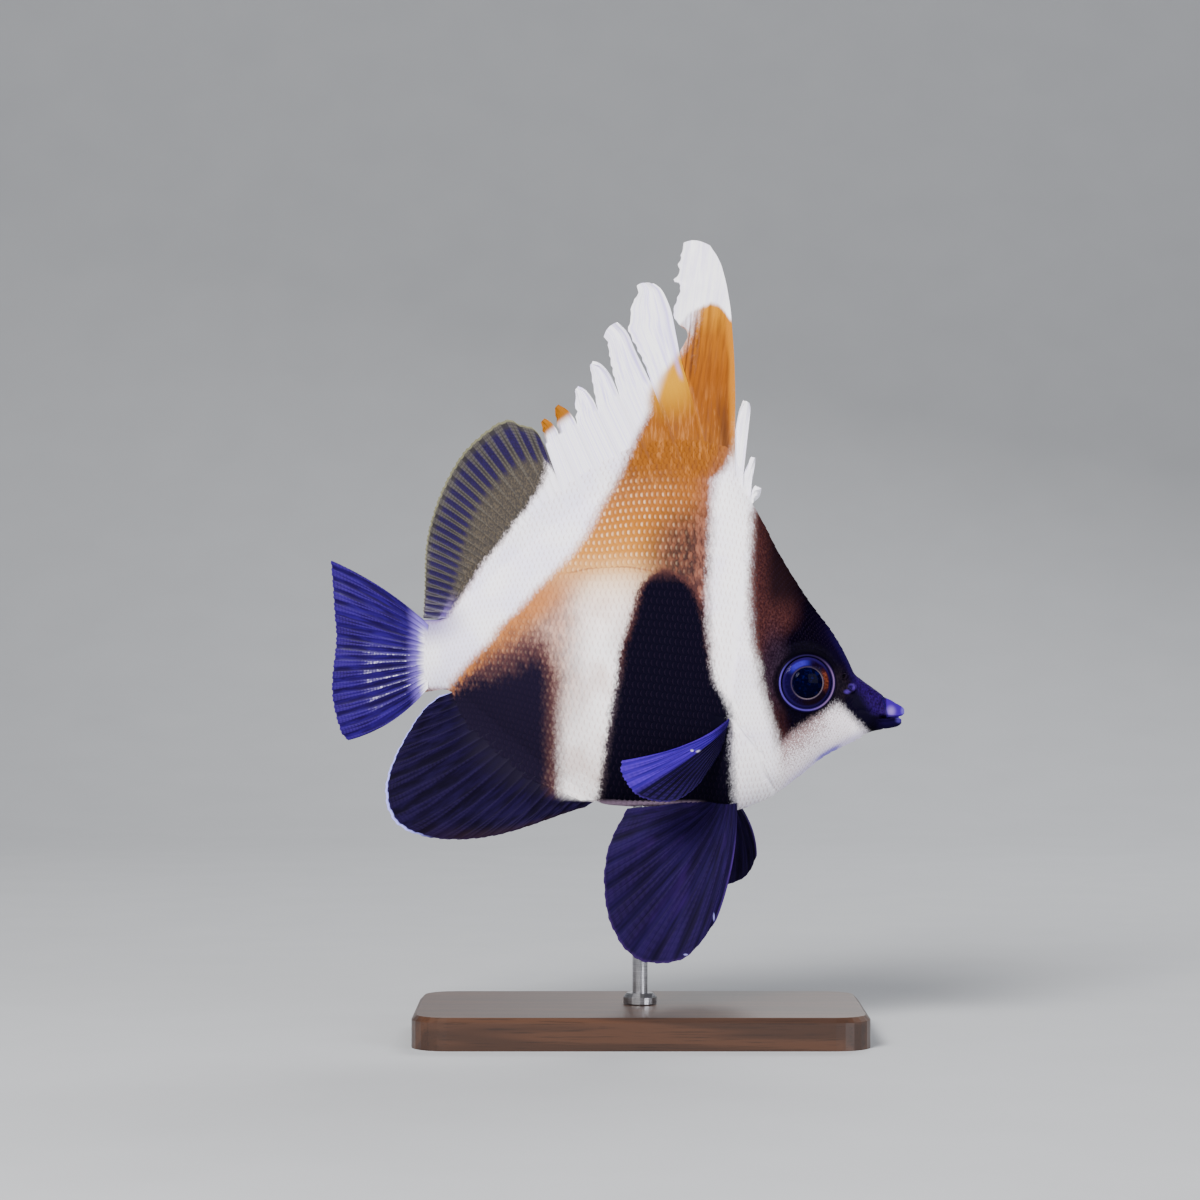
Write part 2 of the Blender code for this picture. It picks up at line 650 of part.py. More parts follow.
def make_tail_fin(colour):
    """The tail fin spreads from the flat end of its stem and sways a little to the left."""
    top, bottom, edge = path(TAIL_FIN_TOP), path(TAIL_FIN_BOTTOM), path(TAIL_FIN_EDGE)

    def root(across):
        return blend(top(0), bottom(0), across)

    def bend(across, start, end):
        sides = blend(top(0.5) - blend(top(0), top(1), 0.5), bottom(0.5) - blend(bottom(0), bottom(1), 0.5), across)
        return blend(start, end, 0.5) + 2 * sides * abs(1 - 2 * across)

    def place(x, z, share, _across):
        return (x, TAIL_SWAY * share * share, z)

    sheet = fan(root, edge, bend, place, TAIL_FIN_RAYS, 5, seat=2.2)
    return sheet.thicken("caudal_fin", colour)


def make_pectoral(name, side, colour):
    """The pectoral fin lies on the flank at its root, behind the gill cover, and flares outwards."""
    edge = path(PECTORAL_EDGE)
    ends = [np.array(p) for p in PECTORAL_ROOT]
    bends = [np.array(p) for p in PECTORAL_BEND]

    def root(across):
        return blend(*ends, across)

    def place(x, z, share, across):
        start = root(across)
        away = math.hypot(math.hypot(x - start[0], z - start[1]), PECTORAL_BASE) - PECTORAL_BASE
        cup = 1.6 * math.sin(math.pi * share) * (0.5 - across) * share
        seat = half_thickness(*start) + GAP + PECTORAL_SEAT
        return (x, side * (seat + PECTORAL_FLARE * away + cup), z)

    sheet = fan(
        root, edge, lambda across, *_: blend(*bends, across), place, PECTORAL_RAYS, 5,
        seat=PECTORAL_SEAT,
    )
    return sheet.thicken(name, colour)


def make_pelvic(name, side, splay, swing, size, shift, torso, colour):
    """The pelvic fin hangs from the belly: splayed out sideways, swung forward and sized as asked."""
    edge = path(PELVIC_EDGE)
    ends = [np.array(p) for p in PELVIC_ROOT]
    bends = [np.array(p) for p in PELVIC_BEND]
    hinge = np.array([20.6, 57.0])

    def place(x, z, share, _across):
        ahead, down = (x - hinge[0]) * size, (hinge[1] - z) * size
        swung = ahead * math.cos(swing) + down * math.sin(swing)
        drop = down * math.cos(swing) - ahead * math.sin(swing)
        fall = drop * math.cos(splay) / math.cos(NEAR_PELVIC_SPLAY)
        ripple = 0.5 * math.sin(3.5 * math.pi * _across) * share
        return (
            hinge[0] + shift + swung,
            side * (PELVIC_SEAT + drop * math.sin(splay) + ripple),
            hinge[1] - fall,
        )

    sheet = fan(
        lambda across: blend(*ends, across), edge, lambda across, *_: blend(*bends, across),
        place, PELVIC_RAYS, 6, seat=0.8,
    )
    fin = sheet.thicken(name, colour)
    combine(fin, grown(torso, GAP), "DIFFERENCE")
    return fin


def make_base(colour):
    """A flat board with round corners and a small bevel along its top."""
    length, width, height = BASE_SIZE
    outlines = []
    for inset, z in ((0, 0), (0, height - BASE_BEVEL), (BASE_BEVEL, height)):
        outline = []
        for corner, (sx, sy) in enumerate(((1, 1), (-1, 1), (-1, -1), (1, -1))):
            for k in range(7):
                angle = math.pi / 2 * (corner + k / 6)
                reach = BASE_CORNER - inset
                x = sx * (length / 2 - BASE_CORNER) + reach * math.cos(angle)
                y = sy * (width / 2 - BASE_CORNER) + reach * math.sin(angle)
                outline.append((x, y, z))
        outlines.append(outline)
    count = len(outlines[0])
    points = [p for outline in outlines for p in outline]
    faces = [tuple(range(count))[::-1], tuple(range(2 * count, 3 * count))]
    for level in (0, count):
        for k in range(count):
            after = (k + 1) % count
            faces.append((level + k, level + after, level + count + after, level + count + k))
    return solid("stand_base", points, faces, colour, 0.5)


def make_rod(torso, colour):
    """One rod with a collar at its foot, its top cupped to the belly."""
    foot = BASE_SIZE[2] + GAP
    profile = [
        (0, foot), (COLLAR_RADIUS, foot), (COLLAR_RADIUS, foot + COLLAR_HEIGHT * 0.6),
        (COLLAR_RADIUS - 0.9, foot + COLLAR_HEIGHT), (ROD_RADIUS, foot + COLLAR_HEIGHT),
        (ROD_RADIUS, ROD_TOP), (0, ROD_TOP),
    ]
    rod = turned("stand_rod", profile, 24, Matrix.Identity(4), colour, 0.3)
    rod.data.materials[0].node_tree.nodes["Principled BSDF"].inputs["Metallic"].default_value = 1.0
    combine(rod, grown(torso, GAP), "DIFFERENCE")
    return rod


def clear_scene():
    for old in list(bpy.data.objects):
        bpy.data.objects.remove(old)


def main():
    clear_scene()
    white, tan = (0.92, 0.9, 0.94), (0.75, 0.55, 0.36)
    violet, dark_violet = (0.1, 0.08, 0.38), (0.03, 0.02, 0.09)
    make_head((0.12, 0.08, 0.13))
    make_jaw("upper_jaw", UPPER_JAW, (0.14, 0.1, 0.5))
    make_jaw("lower_jaw", LOWER_JAW, (0.12, 0.09, 0.42))
    torso = body_length(
        "torso", lambda z: TAIL_CUT + GAP / 2, lambda z: gill_line(z) - GAP * 0.6, 22, plain, tan
    )
    body_length(
        "caudal_peduncle", lambda z: TAIL_END, lambda z: TAIL_CUT - GAP / 2, 3, plain, white
    )
    make_spiny_dorsal(white)
    make_soft_dorsal((0.5, 0.46, 0.5))
    make_anal(dark_violet)
    make_tail_fin(violet)
    for side, word in ((-1, "right"), (1, "left")):
        make_eye("eye_" + word, side)
        make_pectoral("pectoral_fin_" + word, side, violet)
    make_pelvic("pelvic_fin_right", -1, NEAR_PELVIC_SPLAY, 0.0, 1.0, 0.0, torso, dark_violet)
    make_pelvic(
        "pelvic_fin_left", 1, FAR_PELVIC_SPLAY, FAR_PELVIC_SWING, FAR_PELVIC_SIZE, FAR_PELVIC_SHIFT,
        torso, dark_violet,
    )
    make_base((0.05, 0.04, 0.035))
    make_rod(torso, (0.6, 0.6, 0.62))


main()
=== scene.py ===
"""The looks of the phantom bannerfish on its stand: skin, scales, finned membranes, eyes and materials.

Every shape is worked out in millimetres in the part's own frame (snout to +X, back to +Z, right side
to -Y) and turned into metres when its mesh is made.
"""

import math

import bpy
import numpy as np
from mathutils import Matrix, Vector


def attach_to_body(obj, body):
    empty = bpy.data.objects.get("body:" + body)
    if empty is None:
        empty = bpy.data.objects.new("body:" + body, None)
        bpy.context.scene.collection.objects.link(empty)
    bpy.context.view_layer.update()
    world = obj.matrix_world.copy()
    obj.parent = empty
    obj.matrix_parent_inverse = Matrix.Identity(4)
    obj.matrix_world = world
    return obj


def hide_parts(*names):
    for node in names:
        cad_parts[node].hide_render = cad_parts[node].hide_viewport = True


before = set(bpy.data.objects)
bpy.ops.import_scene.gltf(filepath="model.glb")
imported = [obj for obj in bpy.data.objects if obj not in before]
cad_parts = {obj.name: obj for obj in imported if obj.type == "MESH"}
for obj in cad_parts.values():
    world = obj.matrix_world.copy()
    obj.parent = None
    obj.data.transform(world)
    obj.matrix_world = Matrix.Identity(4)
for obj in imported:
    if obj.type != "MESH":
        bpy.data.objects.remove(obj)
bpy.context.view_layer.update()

MM = 0.001
SIDES = {"right": -1, "left": 1}

# Body outline in (x, z), as in the solids
BACK_POINTS = [
    (-53.8, 104.0), (-49.0, 104.7), (-45.5, 107.7), (-35.0, 117.0), (-25.0, 125.2), (-15.0, 132.8),
    (-5.0, 138.5), (5.0, 141.5), (15.0, 142.2), (22.5, 139.4), (28.3, 132.6), (35.0, 120.2),
    (43.8, 106.5), (48.0, 101.0), (52.0, 94.0), (53.6, 90.6), (55.0, 89.4), (58.8, 86.6), (61.2, 84.8),
]
BELLY_POINTS = [
    (-53.8, 86.0), (-48.5, 86.6), (-42.5, 83.5), (-35.0, 77.2), (-25.0, 68.6), (-16.0, 62.2),
    (-10.0, 58.4), (-4.0, 57.5), (5.0, 57.4), (15.0, 57.0), (23.8, 56.4), (26.5, 57.3),
    (32.5, 59.8), (40.0, 65.2), (45.0, 69.3), (52.5, 73.4), (57.5, 76.0), (61.2, 76.8),
]
HALF_WIDTH_POINTS = [
    (-53.8, 2.5), (-47.0, 3.2), (-36.0, 5.2), (-22.0, 8.2), (-6.0, 10.3), (10.0, 11.4), (22.0, 11.4),
    (30.0, 10.7), (37.0, 9.5), (43.0, 8.0), (48.0, 6.2), (52.5, 4.5), (57.0, 3.2), (61.2, 2.5),
]
TAIL_END = -53.8
# Height of the widest place as a share of the depth, and how full and how thick the edges are, by x
WIDEST_SHARE = [(-53.8, 0.5), (-30.0, 0.5), (-5.0, 0.44), (15.0, 0.4), (28.0, 0.42), (41.0, 0.5), (61.2, 0.5)]
BACK_FULLNESS = [(-53.8, 0.6), (-49.0, 0.65), (-43.0, 0.95), (20.0, 0.95), (29.0, 0.75), (36.0, 0.6)]
BELLY_FULLNESS = [(-53.8, 0.6), (-49.0, 0.65), (-43.0, 0.95), (-14.0, 0.95), (-5.0, 0.55)]
FIN_SEAT = 1.3  # half the thickness of the back's and belly's edges where fins stand on them
BACK_EDGE = [(-53.8, 0.4), (-47.5, 0.6), (-46.4, FIN_SEAT), (28.2, FIN_SEAT), (30.5, 0.6), (36.0, 0.4)]
BELLY_EDGE = [(-53.8, 0.4), (-47.5, 0.6), (-46.4, FIN_SEAT), (-10.0, FIN_SEAT), (-7.0, 0.6), (0.0, 0.4)]
# The gill cover's edge as (z, x), the heights where it is free, its step off the torso and how far it swells
GILL_POINTS = [
    (60.5, 34.0), (66.0, 31.2), (73.2, 28.2), (77.0, 25.2), (79.5, 23.8), (84.5, 22.8),
    (91.8, 23.4), (109.0, 25.6), (120.0, 27.3), (133.0, 29.5),
]
GILL_SPAN = (61.5, 98.0)
GILL_STEP = 0.5
GILL_REACH = 7.0

# Skin
COAT = 0.16  # how far the skin lies inside the solids, for the scales to lie on
SKIN_ROWS = 150
TORSO_COLUMNS = 104
HEAD_COLUMNS = 150
EDGE_CROWDING = 0.35
SNOUT_FOLD = (59.9, 81.2, 1.3, 3.6)  # x, z, depth and half height of the fold where the jaws begin
SNOUT_TUCK = 0.9
# The gill cover's free edge as (x offset, share of the step) from the flank up over the edge
GILL_LIP = [(0.0, -0.25), (-0.28, 0.0), (-0.42, 0.35), (-0.4, 0.7), (-0.22, 0.96), (0.05, 1.0)]
PREOPERCLE = [(33.0, 100.0), (31.4, 94.0), (31.0, 87.0), (32.2, 80.0), (35.6, 74.8), (41.0, 71.8)]
CHEEK_FOLD = [(47.6, 80.4), (52.0, 81.6), (56.0, 81.4), (58.8, 80.6)]

# Jaws: x, height of the outer edge, height of the mouth's edge and half width of each section
UPPER_JAW = [
    (58.6, 84.0, 80.3, 1.9), (59.9, 84.9, 80.15, 2.36), (60.8, 84.85, 80.0, 2.5), (61.6, 84.5, 79.95, 2.5),
    (62.8, 83.95, 79.9, 2.32), (64.0, 83.2, 79.9, 2.05), (65.0, 82.65, 80.05, 1.65),
    (65.65, 82.2, 80.3, 1.15), (66.05, 81.7, 80.75, 0.5),
]
LOWER_JAW = [
    (58.6, 77.6, 79.3, 1.9), (59.9, 77.0, 79.4, 2.36), (60.8, 76.85, 79.45, 2.5), (61.6, 76.85, 79.45, 2.44),
    (62.6, 77.0, 79.55, 2.22), (63.6, 77.2, 79.7, 1.92), (64.5, 77.5, 79.6, 1.5), (65.05, 77.85, 79.35, 1.0),
    (65.35, 78.25, 79.05, 0.45),
]
# The lining that closes the mouth behind the lips, with the same four numbers
MOUTH = [
    (58.8, 81.4, 78.0, 1.6), (61.0, 81.2, 78.2, 1.7), (63.0, 81.0, 78.4, 1.3), (64.3, 80.7, 78.8, 0.7),
    (64.7, 80.4, 79.0, 0.3),
]
JAW_COLUMNS = 44
JAW_STEPS = 22
JAW_EDGE = 0.14  # half thickness at a jaw's outer edge, as a share of its half width
LIP_ROLL = 0.12  # as a share of the jaw's half width
LIP_CREASE = 0.06

# Eyes
EYE_X = 41.25
EYE_Z = 88.5
# The eye's outline as (radius, height over the skin) from the lens to its rim, and the height of its back
EYE_DOME = [
    (0.0, 1.95), (1.0, 1.9), (2.0, 1.76), (2.9, 1.5), (3.5, 1.18), (3.76, 0.92), (3.86, 0.88), (4.02, 0.96),
    (4.5, 0.84), (5.2, 0.58), (5.8, 0.26), (6.2, -0.06), (6.4, -0.5), (6.4, -1.4),
]
EYE_BACK = -1.9
EYE_SEGMENTS = 96
SOCKET = (8.3, 1.6)  # radius and depth of the hollow in the skin under the eye
# The orbit's rim as (radius, height over the skin)
ORBIT_RIM = [
    (6.05, -1.5), (6.16, -0.5), (6.26, 0.1), (6.4, 0.42), (6.6, 0.58), (6.85, 0.58), (7.05, 0.44),
    (7.22, 0.24), (7.45, 0.12), (7.8, 0.06), (8.2, 0.06), (8.6, 0.05), (8.9, -0.02), (9.15, -0.3),
]
NOSTRIL_RIM = [
    (0.0, -0.7), (0.3, -0.66), (0.5, -0.3), (0.6, 0.12), (0.75, 0.3), (0.95, 0.24), (1.15, 0.06),
    (1.4, -0.04), (1.6, -0.14),
]
NOSTRILS = [(50.75, 90.0, 0.85), (52.5, 87.0, 1.15)]  # x, z, size

# Fins
MEMBRANE = 0.24
RAY_RIDGE = 0.24
SPINE_RIDGE = 0.5
RIM = 0.15
SHEATH_FADE = 5.5
ROOT_SINK = 0.5  # how far a fin's root is sunk under the skin
RAY_COLUMNS = 8  # columns of the mesh for each ray
ROW_CROWDING = 1.1  # above 1, the mesh's rows crowd towards a fin's root
SCALLOP = 0.3  # how far the edge is drawn in between two rays

SOFT_DORSAL_ROOT = (-17.6, -48.6)
SOFT_DORSAL_EDGE = [
    (-23.85, 147.6), (-26.2, 151.7), (-30.0, 153.0), (-33.2, 154.2), (-37.7, 152.0), (-44.2, 146.0),
    (-49.0, 138.0), (-52.0, 130.0), (-53.7, 122.0), (-54.0, 111.0), (-54.4, 104.6),
]
SOFT_DORSAL_RAYS = 25
ANAL_ROOT = (-10.6, -46.2)
ANAL_EDGE = [
    (-14.0, 57.3), (-17.5, 56.2), (-30.0, 51.7), (-38.7, 49.6), (-46.2, 49.0), (-54.0, 49.8), (-60.0, 52.3),
    (-63.0, 56.4), (-63.7, 62.2), (-62.2, 68.0), (-59.0, 74.5), (-54.5, 81.3), (-50.2, 85.0),
]
ANAL_RAYS = 20
TAIL_FIN_TOP = [(-52.9, 102.9), (-61.7, 109.9), (-72.5, 117.6), (-77.5, 119.0)]
TAIL_FIN_BOTTOM = [(-52.9, 87.1), (-60.5, 80.0), (-67.0, 75.4), (-73.2, 73.8)]
TAIL_FIN_EDGE = [
    (-77.5, 119.0), (-76.6, 106.0), (-76.2, 99.0), (-77.2, 89.0), (-76.9, 83.0), (-75.0, 76.0), (-73.2, 73.8),
]
TAIL_FIN_RAYS = 17
TAIL_SWAY = 2.0
PECTORAL_ROOT = [(21.9, 79.7), (20.3, 74.0)]
PECTORAL_BEND = [(15.6, 72.8), (19.2, 70.8)]
PECTORAL_EDGE = [
    (-4.8, 69.7), (-4.9, 66.8), (-2.5, 62.7), (0.0, 60.7), (5.0, 59.5), (9.6, 60.2), (14.2, 63.6),
    (16.2, 67.4),
]
PECTORAL_RAYS = 15
PECTORAL_FLARE = 0.38
PECTORAL_BASE = 3.0
PECTORAL_SEAT = 0.5
PELVIC_ROOT = [(24.0, 59.6), (17.2, 59.6)]
PELVIC_BEND = [(24.6, 44.0), (11.0, 58.2)]
PELVIC_EDGE = [
    (18.7, 29.5), (14.2, 23.3), (10.0, 19.9), (5.0, 19.0), (0.0, 19.6), (-4.5, 23.2), (-8.0, 30.2),
    (-9.1, 38.0), (-8.9, 43.0), (-7.5, 49.0), (-3.4, 57.0),
]
PELVIC_RAYS = 12
PELVIC_SEAT = 3.5
PELVIC_HINGE = (20.6, 57.0)
NEAR_SPLAY = math.radians(9)
# Splay, swing forward, size and shift of each pelvic fin
PELVIC_POSE = {
    "right": (NEAR_SPLAY, 0.0, 1.0, 0.0),
    "left": (math.radians(53), math.radians(24), 0.86, 1.4),
}

# Spiny dorsal fin: for each lobe the root of its spine, its front edge and its rear edge from tip to base
DORSAL_LOBES = [
    (28.1, [(28.3, 133.4), (29.6, 137.2)], [(29.4, 137.2), (28.4, 136.1), (27.6, 135.4)]),
    (27.3, [(27.6, 135.4), (28.1, 140.0), (28.4, 144.6)], [(28.1, 144.6), (26.9, 142.6), (25.7, 140.2)]),
    (26.0, [(25.7, 140.2), (26.4, 147.0), (27.2, 155.0), (27.1, 158.0)],
     [(26.0, 158.8), (24.8, 156.0), (23.8, 151.5)]),
    (24.0, [(23.8, 151.5), (23.7, 164.0), (23.2, 174.0), (22.2, 184.0), (20.2, 192.6), (17.4, 197.4)],
     [(11.0, 198.3), (10.5, 195.7), (9.6, 192.2), (10.0, 190.6), (8.45, 189.0), (10.2, 187.4), (9.3, 184.2),
      (8.35, 181.0), (9.3, 178.4), (11.9, 176.0), (11.3, 173.4), (10.1, 171.3), (10.5, 168.3),
      (12.0, 163.0)]),
    (17.5, [(12.0, 163.0), (10.1, 169.5), (9.0, 175.0), (7.6, 181.5), (5.5, 186.2), (3.4, 187.8)],
     [(-0.8, 187.6), (-0.4, 185.6), (-1.4, 184.1), (-2.3, 181.6), (-2.3, 178.8), (-2.9, 176.6), (-0.5, 171.5),
      (1.5, 167.2), (3.0, 162.7)]),
    (10.75, [(3.0, 162.7), (0.8, 167.2), (-1.3, 171.5), (-3.2, 175.8), (-5.7, 178.3)],
     [(-9.0, 174.8), (-8.0, 173.4), (-7.5, 170.0), (-6.5, 165.0), (-5.0, 159.7)]),
    (3.75, [(-5.0, 159.7), (-7.4, 165.0), (-9.8, 167.7), (-11.9, 168.4)],
     [(-12.2, 167.6), (-11.6, 162.7), (-10.5, 156.2)]),
    (-2.5, [(-10.5, 156.2), (-11.7, 159.0), (-13.7, 161.4), (-15.6, 162.2)],
     [(-16.0, 161.4), (-16.0, 157.5), (-15.7, 152.7)]),
    (-8.5, [(-15.7, 152.7), (-16.7, 154.6), (-18.4, 156.6), (-20.6, 157.6)],
     [(-21.0, 156.9), (-20.8, 153.5), (-20.2, 150.0)]),
    (-13.5, [(-20.2, 150.0), (-21.0, 151.6), (-22.5, 153.2), (-24.1, 154.1)],
     [(-24.5, 153.5), (-24.1, 151.0), (-23.5, 147.7)]),
]
SPINY_END = -18.0
BANNER_LOBES = 4  # the lobes up to the tall banner, the rest have their own finish
LOBE_ARCH = 0.16
RAGGED = 0.16  # how far the rear edges of the lobes are frayed
SPINE_WIDTH = 0.11  # as a share of a lobe of usual width
USUAL_LOBE = 6.0
FOLD_FOOT = (13.0, 166.0)  # x and z of a place on the straight fold in the tall banner
FOLD_SLOPE = 0.115
FOLD_REACH = (163.0, 184.0)
LOBE_COLUMNS = 22
BAND_ROWS = 26
LOBE_ROW = 0.9  # length of a lobe's mesh rows

# Scales: spacing along the body at some x, and between rows
SCALE_PITCH = [
    (-56.0, 0.9), (-46.0, 0.95), (-32.0, 1.15), (-12.0, 1.32), (6.0, 1.32), (16.0, 1.18), (26.0, 1.05),
    (36.0, 1.0),
]
SCALE_ROW = 1.95
SHEATH_ROW = 1.45
COAT_PARTING = -2.0  # the x at which the body's coat is made in two pieces
ROW_ARCH = 0.45  # how much the rows close up where the body is less deep
# How far the scales climb the fins above the back and below the belly, by x
SHEATH_OVER = [(-47.5, 0.0), (-43.0, 7.0), (-20.0, 7.5), (22.0, 7.5), (25.0, 4.5), (27.0, 0.8), (28.0, 0.0)]
SHEATH_UNDER = [(-47.5, 0.0), (-43.0, 7.0), (-22.0, 7.5), (-17.5, 5.0), (-14.0, 1.8), (-11.5, 0.0)]
HEAD_PITCH = [(20.0, 1.0), (34.0, 0.9), (44.0, 0.8), (56.0, 0.62)]
HEAD_ROW = 1.35
HEAD_RANGE = (-34.5, 55.0)  # arcs of the head's lowest and highest rows
HEAD_ARCH = 0.75
HEAD_SCALES = (20.0, 54.5)  # from the gill cover to the snout, by x
EYE_CLEARANCE = 9.3
NOSTRIL_CLEARANCE = 2.2
PECTORAL_CLEARING = (21.0, 77.0, 2.6, 4.2)  # x, z and half sizes of the place left bare at the fin's root
SCALE_FADE = 0.2  # how far the scales sink into the skin towards the snout and the eye
SCALE_LENGTH = 1.9  # as a share of the pitch
SCALE_WIDTH = 1.45  # as a share of the row spacing
SCALE_SEAT = 0.6 * COAT  # how far inside the solids' faces a scale's height starts
SCALE_SINK = -0.1
SCALE_LIFT = 0.32
SCALE_THICKNESS = 0.1
SCALE_GRID = 5
SCALE_VARIES = 0.06
STEEPEST = 6.0  # the steepest flank that a scale leans with
PATCH = 0.003  # size of a scale's patch on the baking map
UNROLLED = 116.0  # length of the fish that one half of the baking map holds
UNROLLED_GRID = (240, 400, 500)  # sections, steps up each of them, and rows of the unrolled flank
FULL_ROWS = 5.0  # the x at which rows lie at their full spacing


def blend(a, b, share):
    return a + (b - a) * share


def ease(value):
    """0 below 0, 1 above 1, and a smooth step between."""
    value = np.clip(value, 0.0, 1.0)
    return value * value * (3 - 2 * value)


def smooth_curve(points):
    """A smooth function of the first number through the points."""
    xs, ys = np.array(points, float).T
    slopes = np.gradient(ys, xs)

    def at(x):
        x = np.clip(x, xs[0], xs[-1])
        i = np.clip(np.searchsorted(xs, x, side="right") - 1, 0, len(xs) - 2)
        width = xs[i + 1] - xs[i]
        t = (x - xs[i]) / width
        start = ys[i] * (1 + 2 * t) * (1 - t) ** 2 + slopes[i] * width * t * (1 - t) ** 2
        return start + ys[i + 1] * t * t * (3 - 2 * t) - slopes[i + 1] * width * t * t * (1 - t)

    return at


def path(points, steps=12):
    """A smooth line through the points, as a function of the share of its length."""
    knots = [np.array(p, float) for p in points]
    knots = [2 * knots[0] - knots[1]] + knots + [2 * knots[-1] - knots[-2]]
    line = []
    for a, b, c, d in zip(knots, knots[1:], knots[2:], knots[3:]):
        for i in range(steps):
            t = i / steps
            tangent = (c - a) / 2 * t + (2 * a - 5 * b + 4 * c - d) / 2 * t * t
            line.append(b + tangent + (3 * b - a - 3 * c + d) / 2 * t**3)
    line.append(knots[-2])
    line = np.array(line)
    lengths = np.concatenate([[0], np.cumsum(np.linalg.norm(np.diff(line, axis=0), axis=1))])

    def at(share):
        where = np.asarray(share) * lengths[-1]
        return np.stack([np.interp(where, lengths, line[:, 0]), np.interp(where, lengths, line[:, 1])], -1)

    return at


def table(points):
    """Straight lines between the points, level past both ends."""
    xs, ys = zip(*points)
    return lambda x: np.interp(x, xs, ys)


def bell(value):
    """1 at 0 and falling off on both sides."""
    return np.exp(-(value**2))


back, belly = smooth_curve(BACK_POINTS), smooth_curve(BELLY_POINTS)
half_width, widest_share = smooth_curve(HALF_WIDTH_POINTS), smooth_curve(WIDEST_SHARE)
gill_line = smooth_curve(GILL_POINTS)
back_fullness, belly_fullness = table(BACK_FULLNESS), table(BELLY_FULLNESS)
back_edge, belly_edge = table(BACK_EDGE), table(BELLY_EDGE)


def half_thickness(x, z):
    """Half the body's thickness at points of its side view."""
    low, high = belly(x), back(x)
    widest = blend(low, high, widest_share(x))
    above = z > widest
    reach = np.clip(np.where(above, (z - widest) / (high - widest), (widest - z) / (widest - low)), 0, 1)
    fullness = np.where(above, back_fullness(x), belly_fullness(x))
    edge = np.where(above, back_edge(x), belly_edge(x))
    power = 2.2 - 1.5 * (fullness - 0.55)
    return edge + (half_width(x) - edge) * np.clip(1 - reach**power, 0, 1) ** fullness


def gill_raise(x, z):
    """The gill cover swells towards its free edge."""
    ahead = np.where(x >= gill_line(z) - 0.01, 1 - ease((x - gill_line(z)) / GILL_REACH), 0)
    low, high = GILL_SPAN
    return GILL_STEP * ahead * ease((z - low) / 5) * ease((high - z) / 6)


def crease(x, z, line, width):
    """1 on a line of points in the side view and fading off it."""
    steps = path(line)(np.linspace(0, 1, 40))
    gap = np.min(np.hypot(x[..., None] - steps[:, 0], z[..., None] - steps[:, 1]), axis=-1)
    return bell(gap / width)


def relief(x, z):
    """Height of the head's own forms over the plain body, negative under the eyes and nostrils."""
    from_eye = np.hypot(x - EYE_X, z - EYE_Z)
    radius, depth = SOCKET
    height = 0.1 * bell((from_eye - radius - 1.5) / 0.9) - depth * ease((radius - from_eye) / 0.45)
    for nostril_x, nostril_z, size in NOSTRILS:
        height = height - 0.8 * ease((1.12 * size - np.hypot(x - nostril_x, z - nostril_z)) / 0.2)
    return height - 0.16 * crease(x, z, PREOPERCLE, 0.5) - 0.14 * crease(x, z, CHEEK_FOLD, 0.45)


def tilt(half, x, z, step=0.15):
    """How fast a half thickness grows along x and up z."""
    along = (half(x + step, z) - half(x - step, z)) / (2 * step)
    return along, (half(x, z + step) - half(x, z - step)) / (2 * step)


def surface(x, z, lift, side, half=half_thickness, steepest=math.inf):
    """Points on one flank, raised along its normal."""
    along, up = tilt(half, x, z)
    up = np.clip(up, -steepest, steepest)
    rise = lift / np.sqrt(1 + along**2 + up**2)
    return np.stack([x - along * rise, side * (half(x, z) + rise), z - up * rise], -1)


def put_in_scene(name, mesh, material, sharp=None):
    """An object for a mesh, shaded smooth but for edges sharper than the angle in degrees."""
    mesh.shade_smooth()
    if sharp:
        mesh.set_sharp_from_angle(angle=math.radians(sharp))
    mesh.materials.append(material)
    made = bpy.data.objects.new(name, mesh)
    bpy.context.scene.collection.objects.link(made)
    return made


def lay_map(made, name, values):
    """A map on a mesh, from a pair of values for each of its points."""
    mesh = made.data
    corners = np.empty(len(mesh.loops), int)
    mesh.loops.foreach_get("vertex_index", corners)
    mesh.uv_layers.new(name=name).data.foreach_set("uv", values[corners].ravel())


class Shape:
    """Points and faces gathered from several surfaces, for one mesh."""

    def __init__(self):
        self.points = []
        self.faces = []
        self.count = 0

    def add(self, points, faces):
        points = np.asarray(points, float).reshape(-1, 3)
        self.points.append(points)
        self.faces += [tuple(i + self.count for i in face) for face in faces]
        self.count += len(points)

    def make(self, name, material, sharp=38):
        """The finished object."""
        mesh = bpy.data.meshes.new(name)
        mesh.from_pydata((np.concatenate(self.points) * MM).tolist(), [], self.faces)
        return put_in_scene(name, mesh, material, sharp)


def outward(points, faces):
    """Faces of four corners, turned round if the closed surface they make is inside out."""
    points = np.asarray(points).reshape(-1, 3)
    corners = np.array([face[:3] for face in faces])
    a, b, c = points[corners[:, 0]], points[corners[:, 1]], points[corners[:, 2]]
    d = points[np.array([face[3] for face in faces])]
    volume = np.sum(a * np.cross(b, c)) + np.sum(a * np.cross(c, d))
    return faces if volume > 0 else [tuple(face[::-1]) for face in faces]


def ring_faces(columns, ring):
    """Faces of a tube of equal rings, its ends closed by strips between the two halves of a ring."""
    half, last = ring // 2, (columns - 1) * ring
    faces = []
    for i in range(columns - 1):
        here, there = i * ring, (i + 1) * ring
        for j in range(ring):
            after = (j + 1) % ring
            faces.append((here + j, here + after, there + after, there + j))
    faces += [(j, ring - 1 - j, ring - 2 - j, j + 1) for j in range(half - 1)]
    faces += [(last + j + 1, last + ring - 2 - j, last + ring - 1 - j, last + j) for j in range(half - 1)]
    return faces


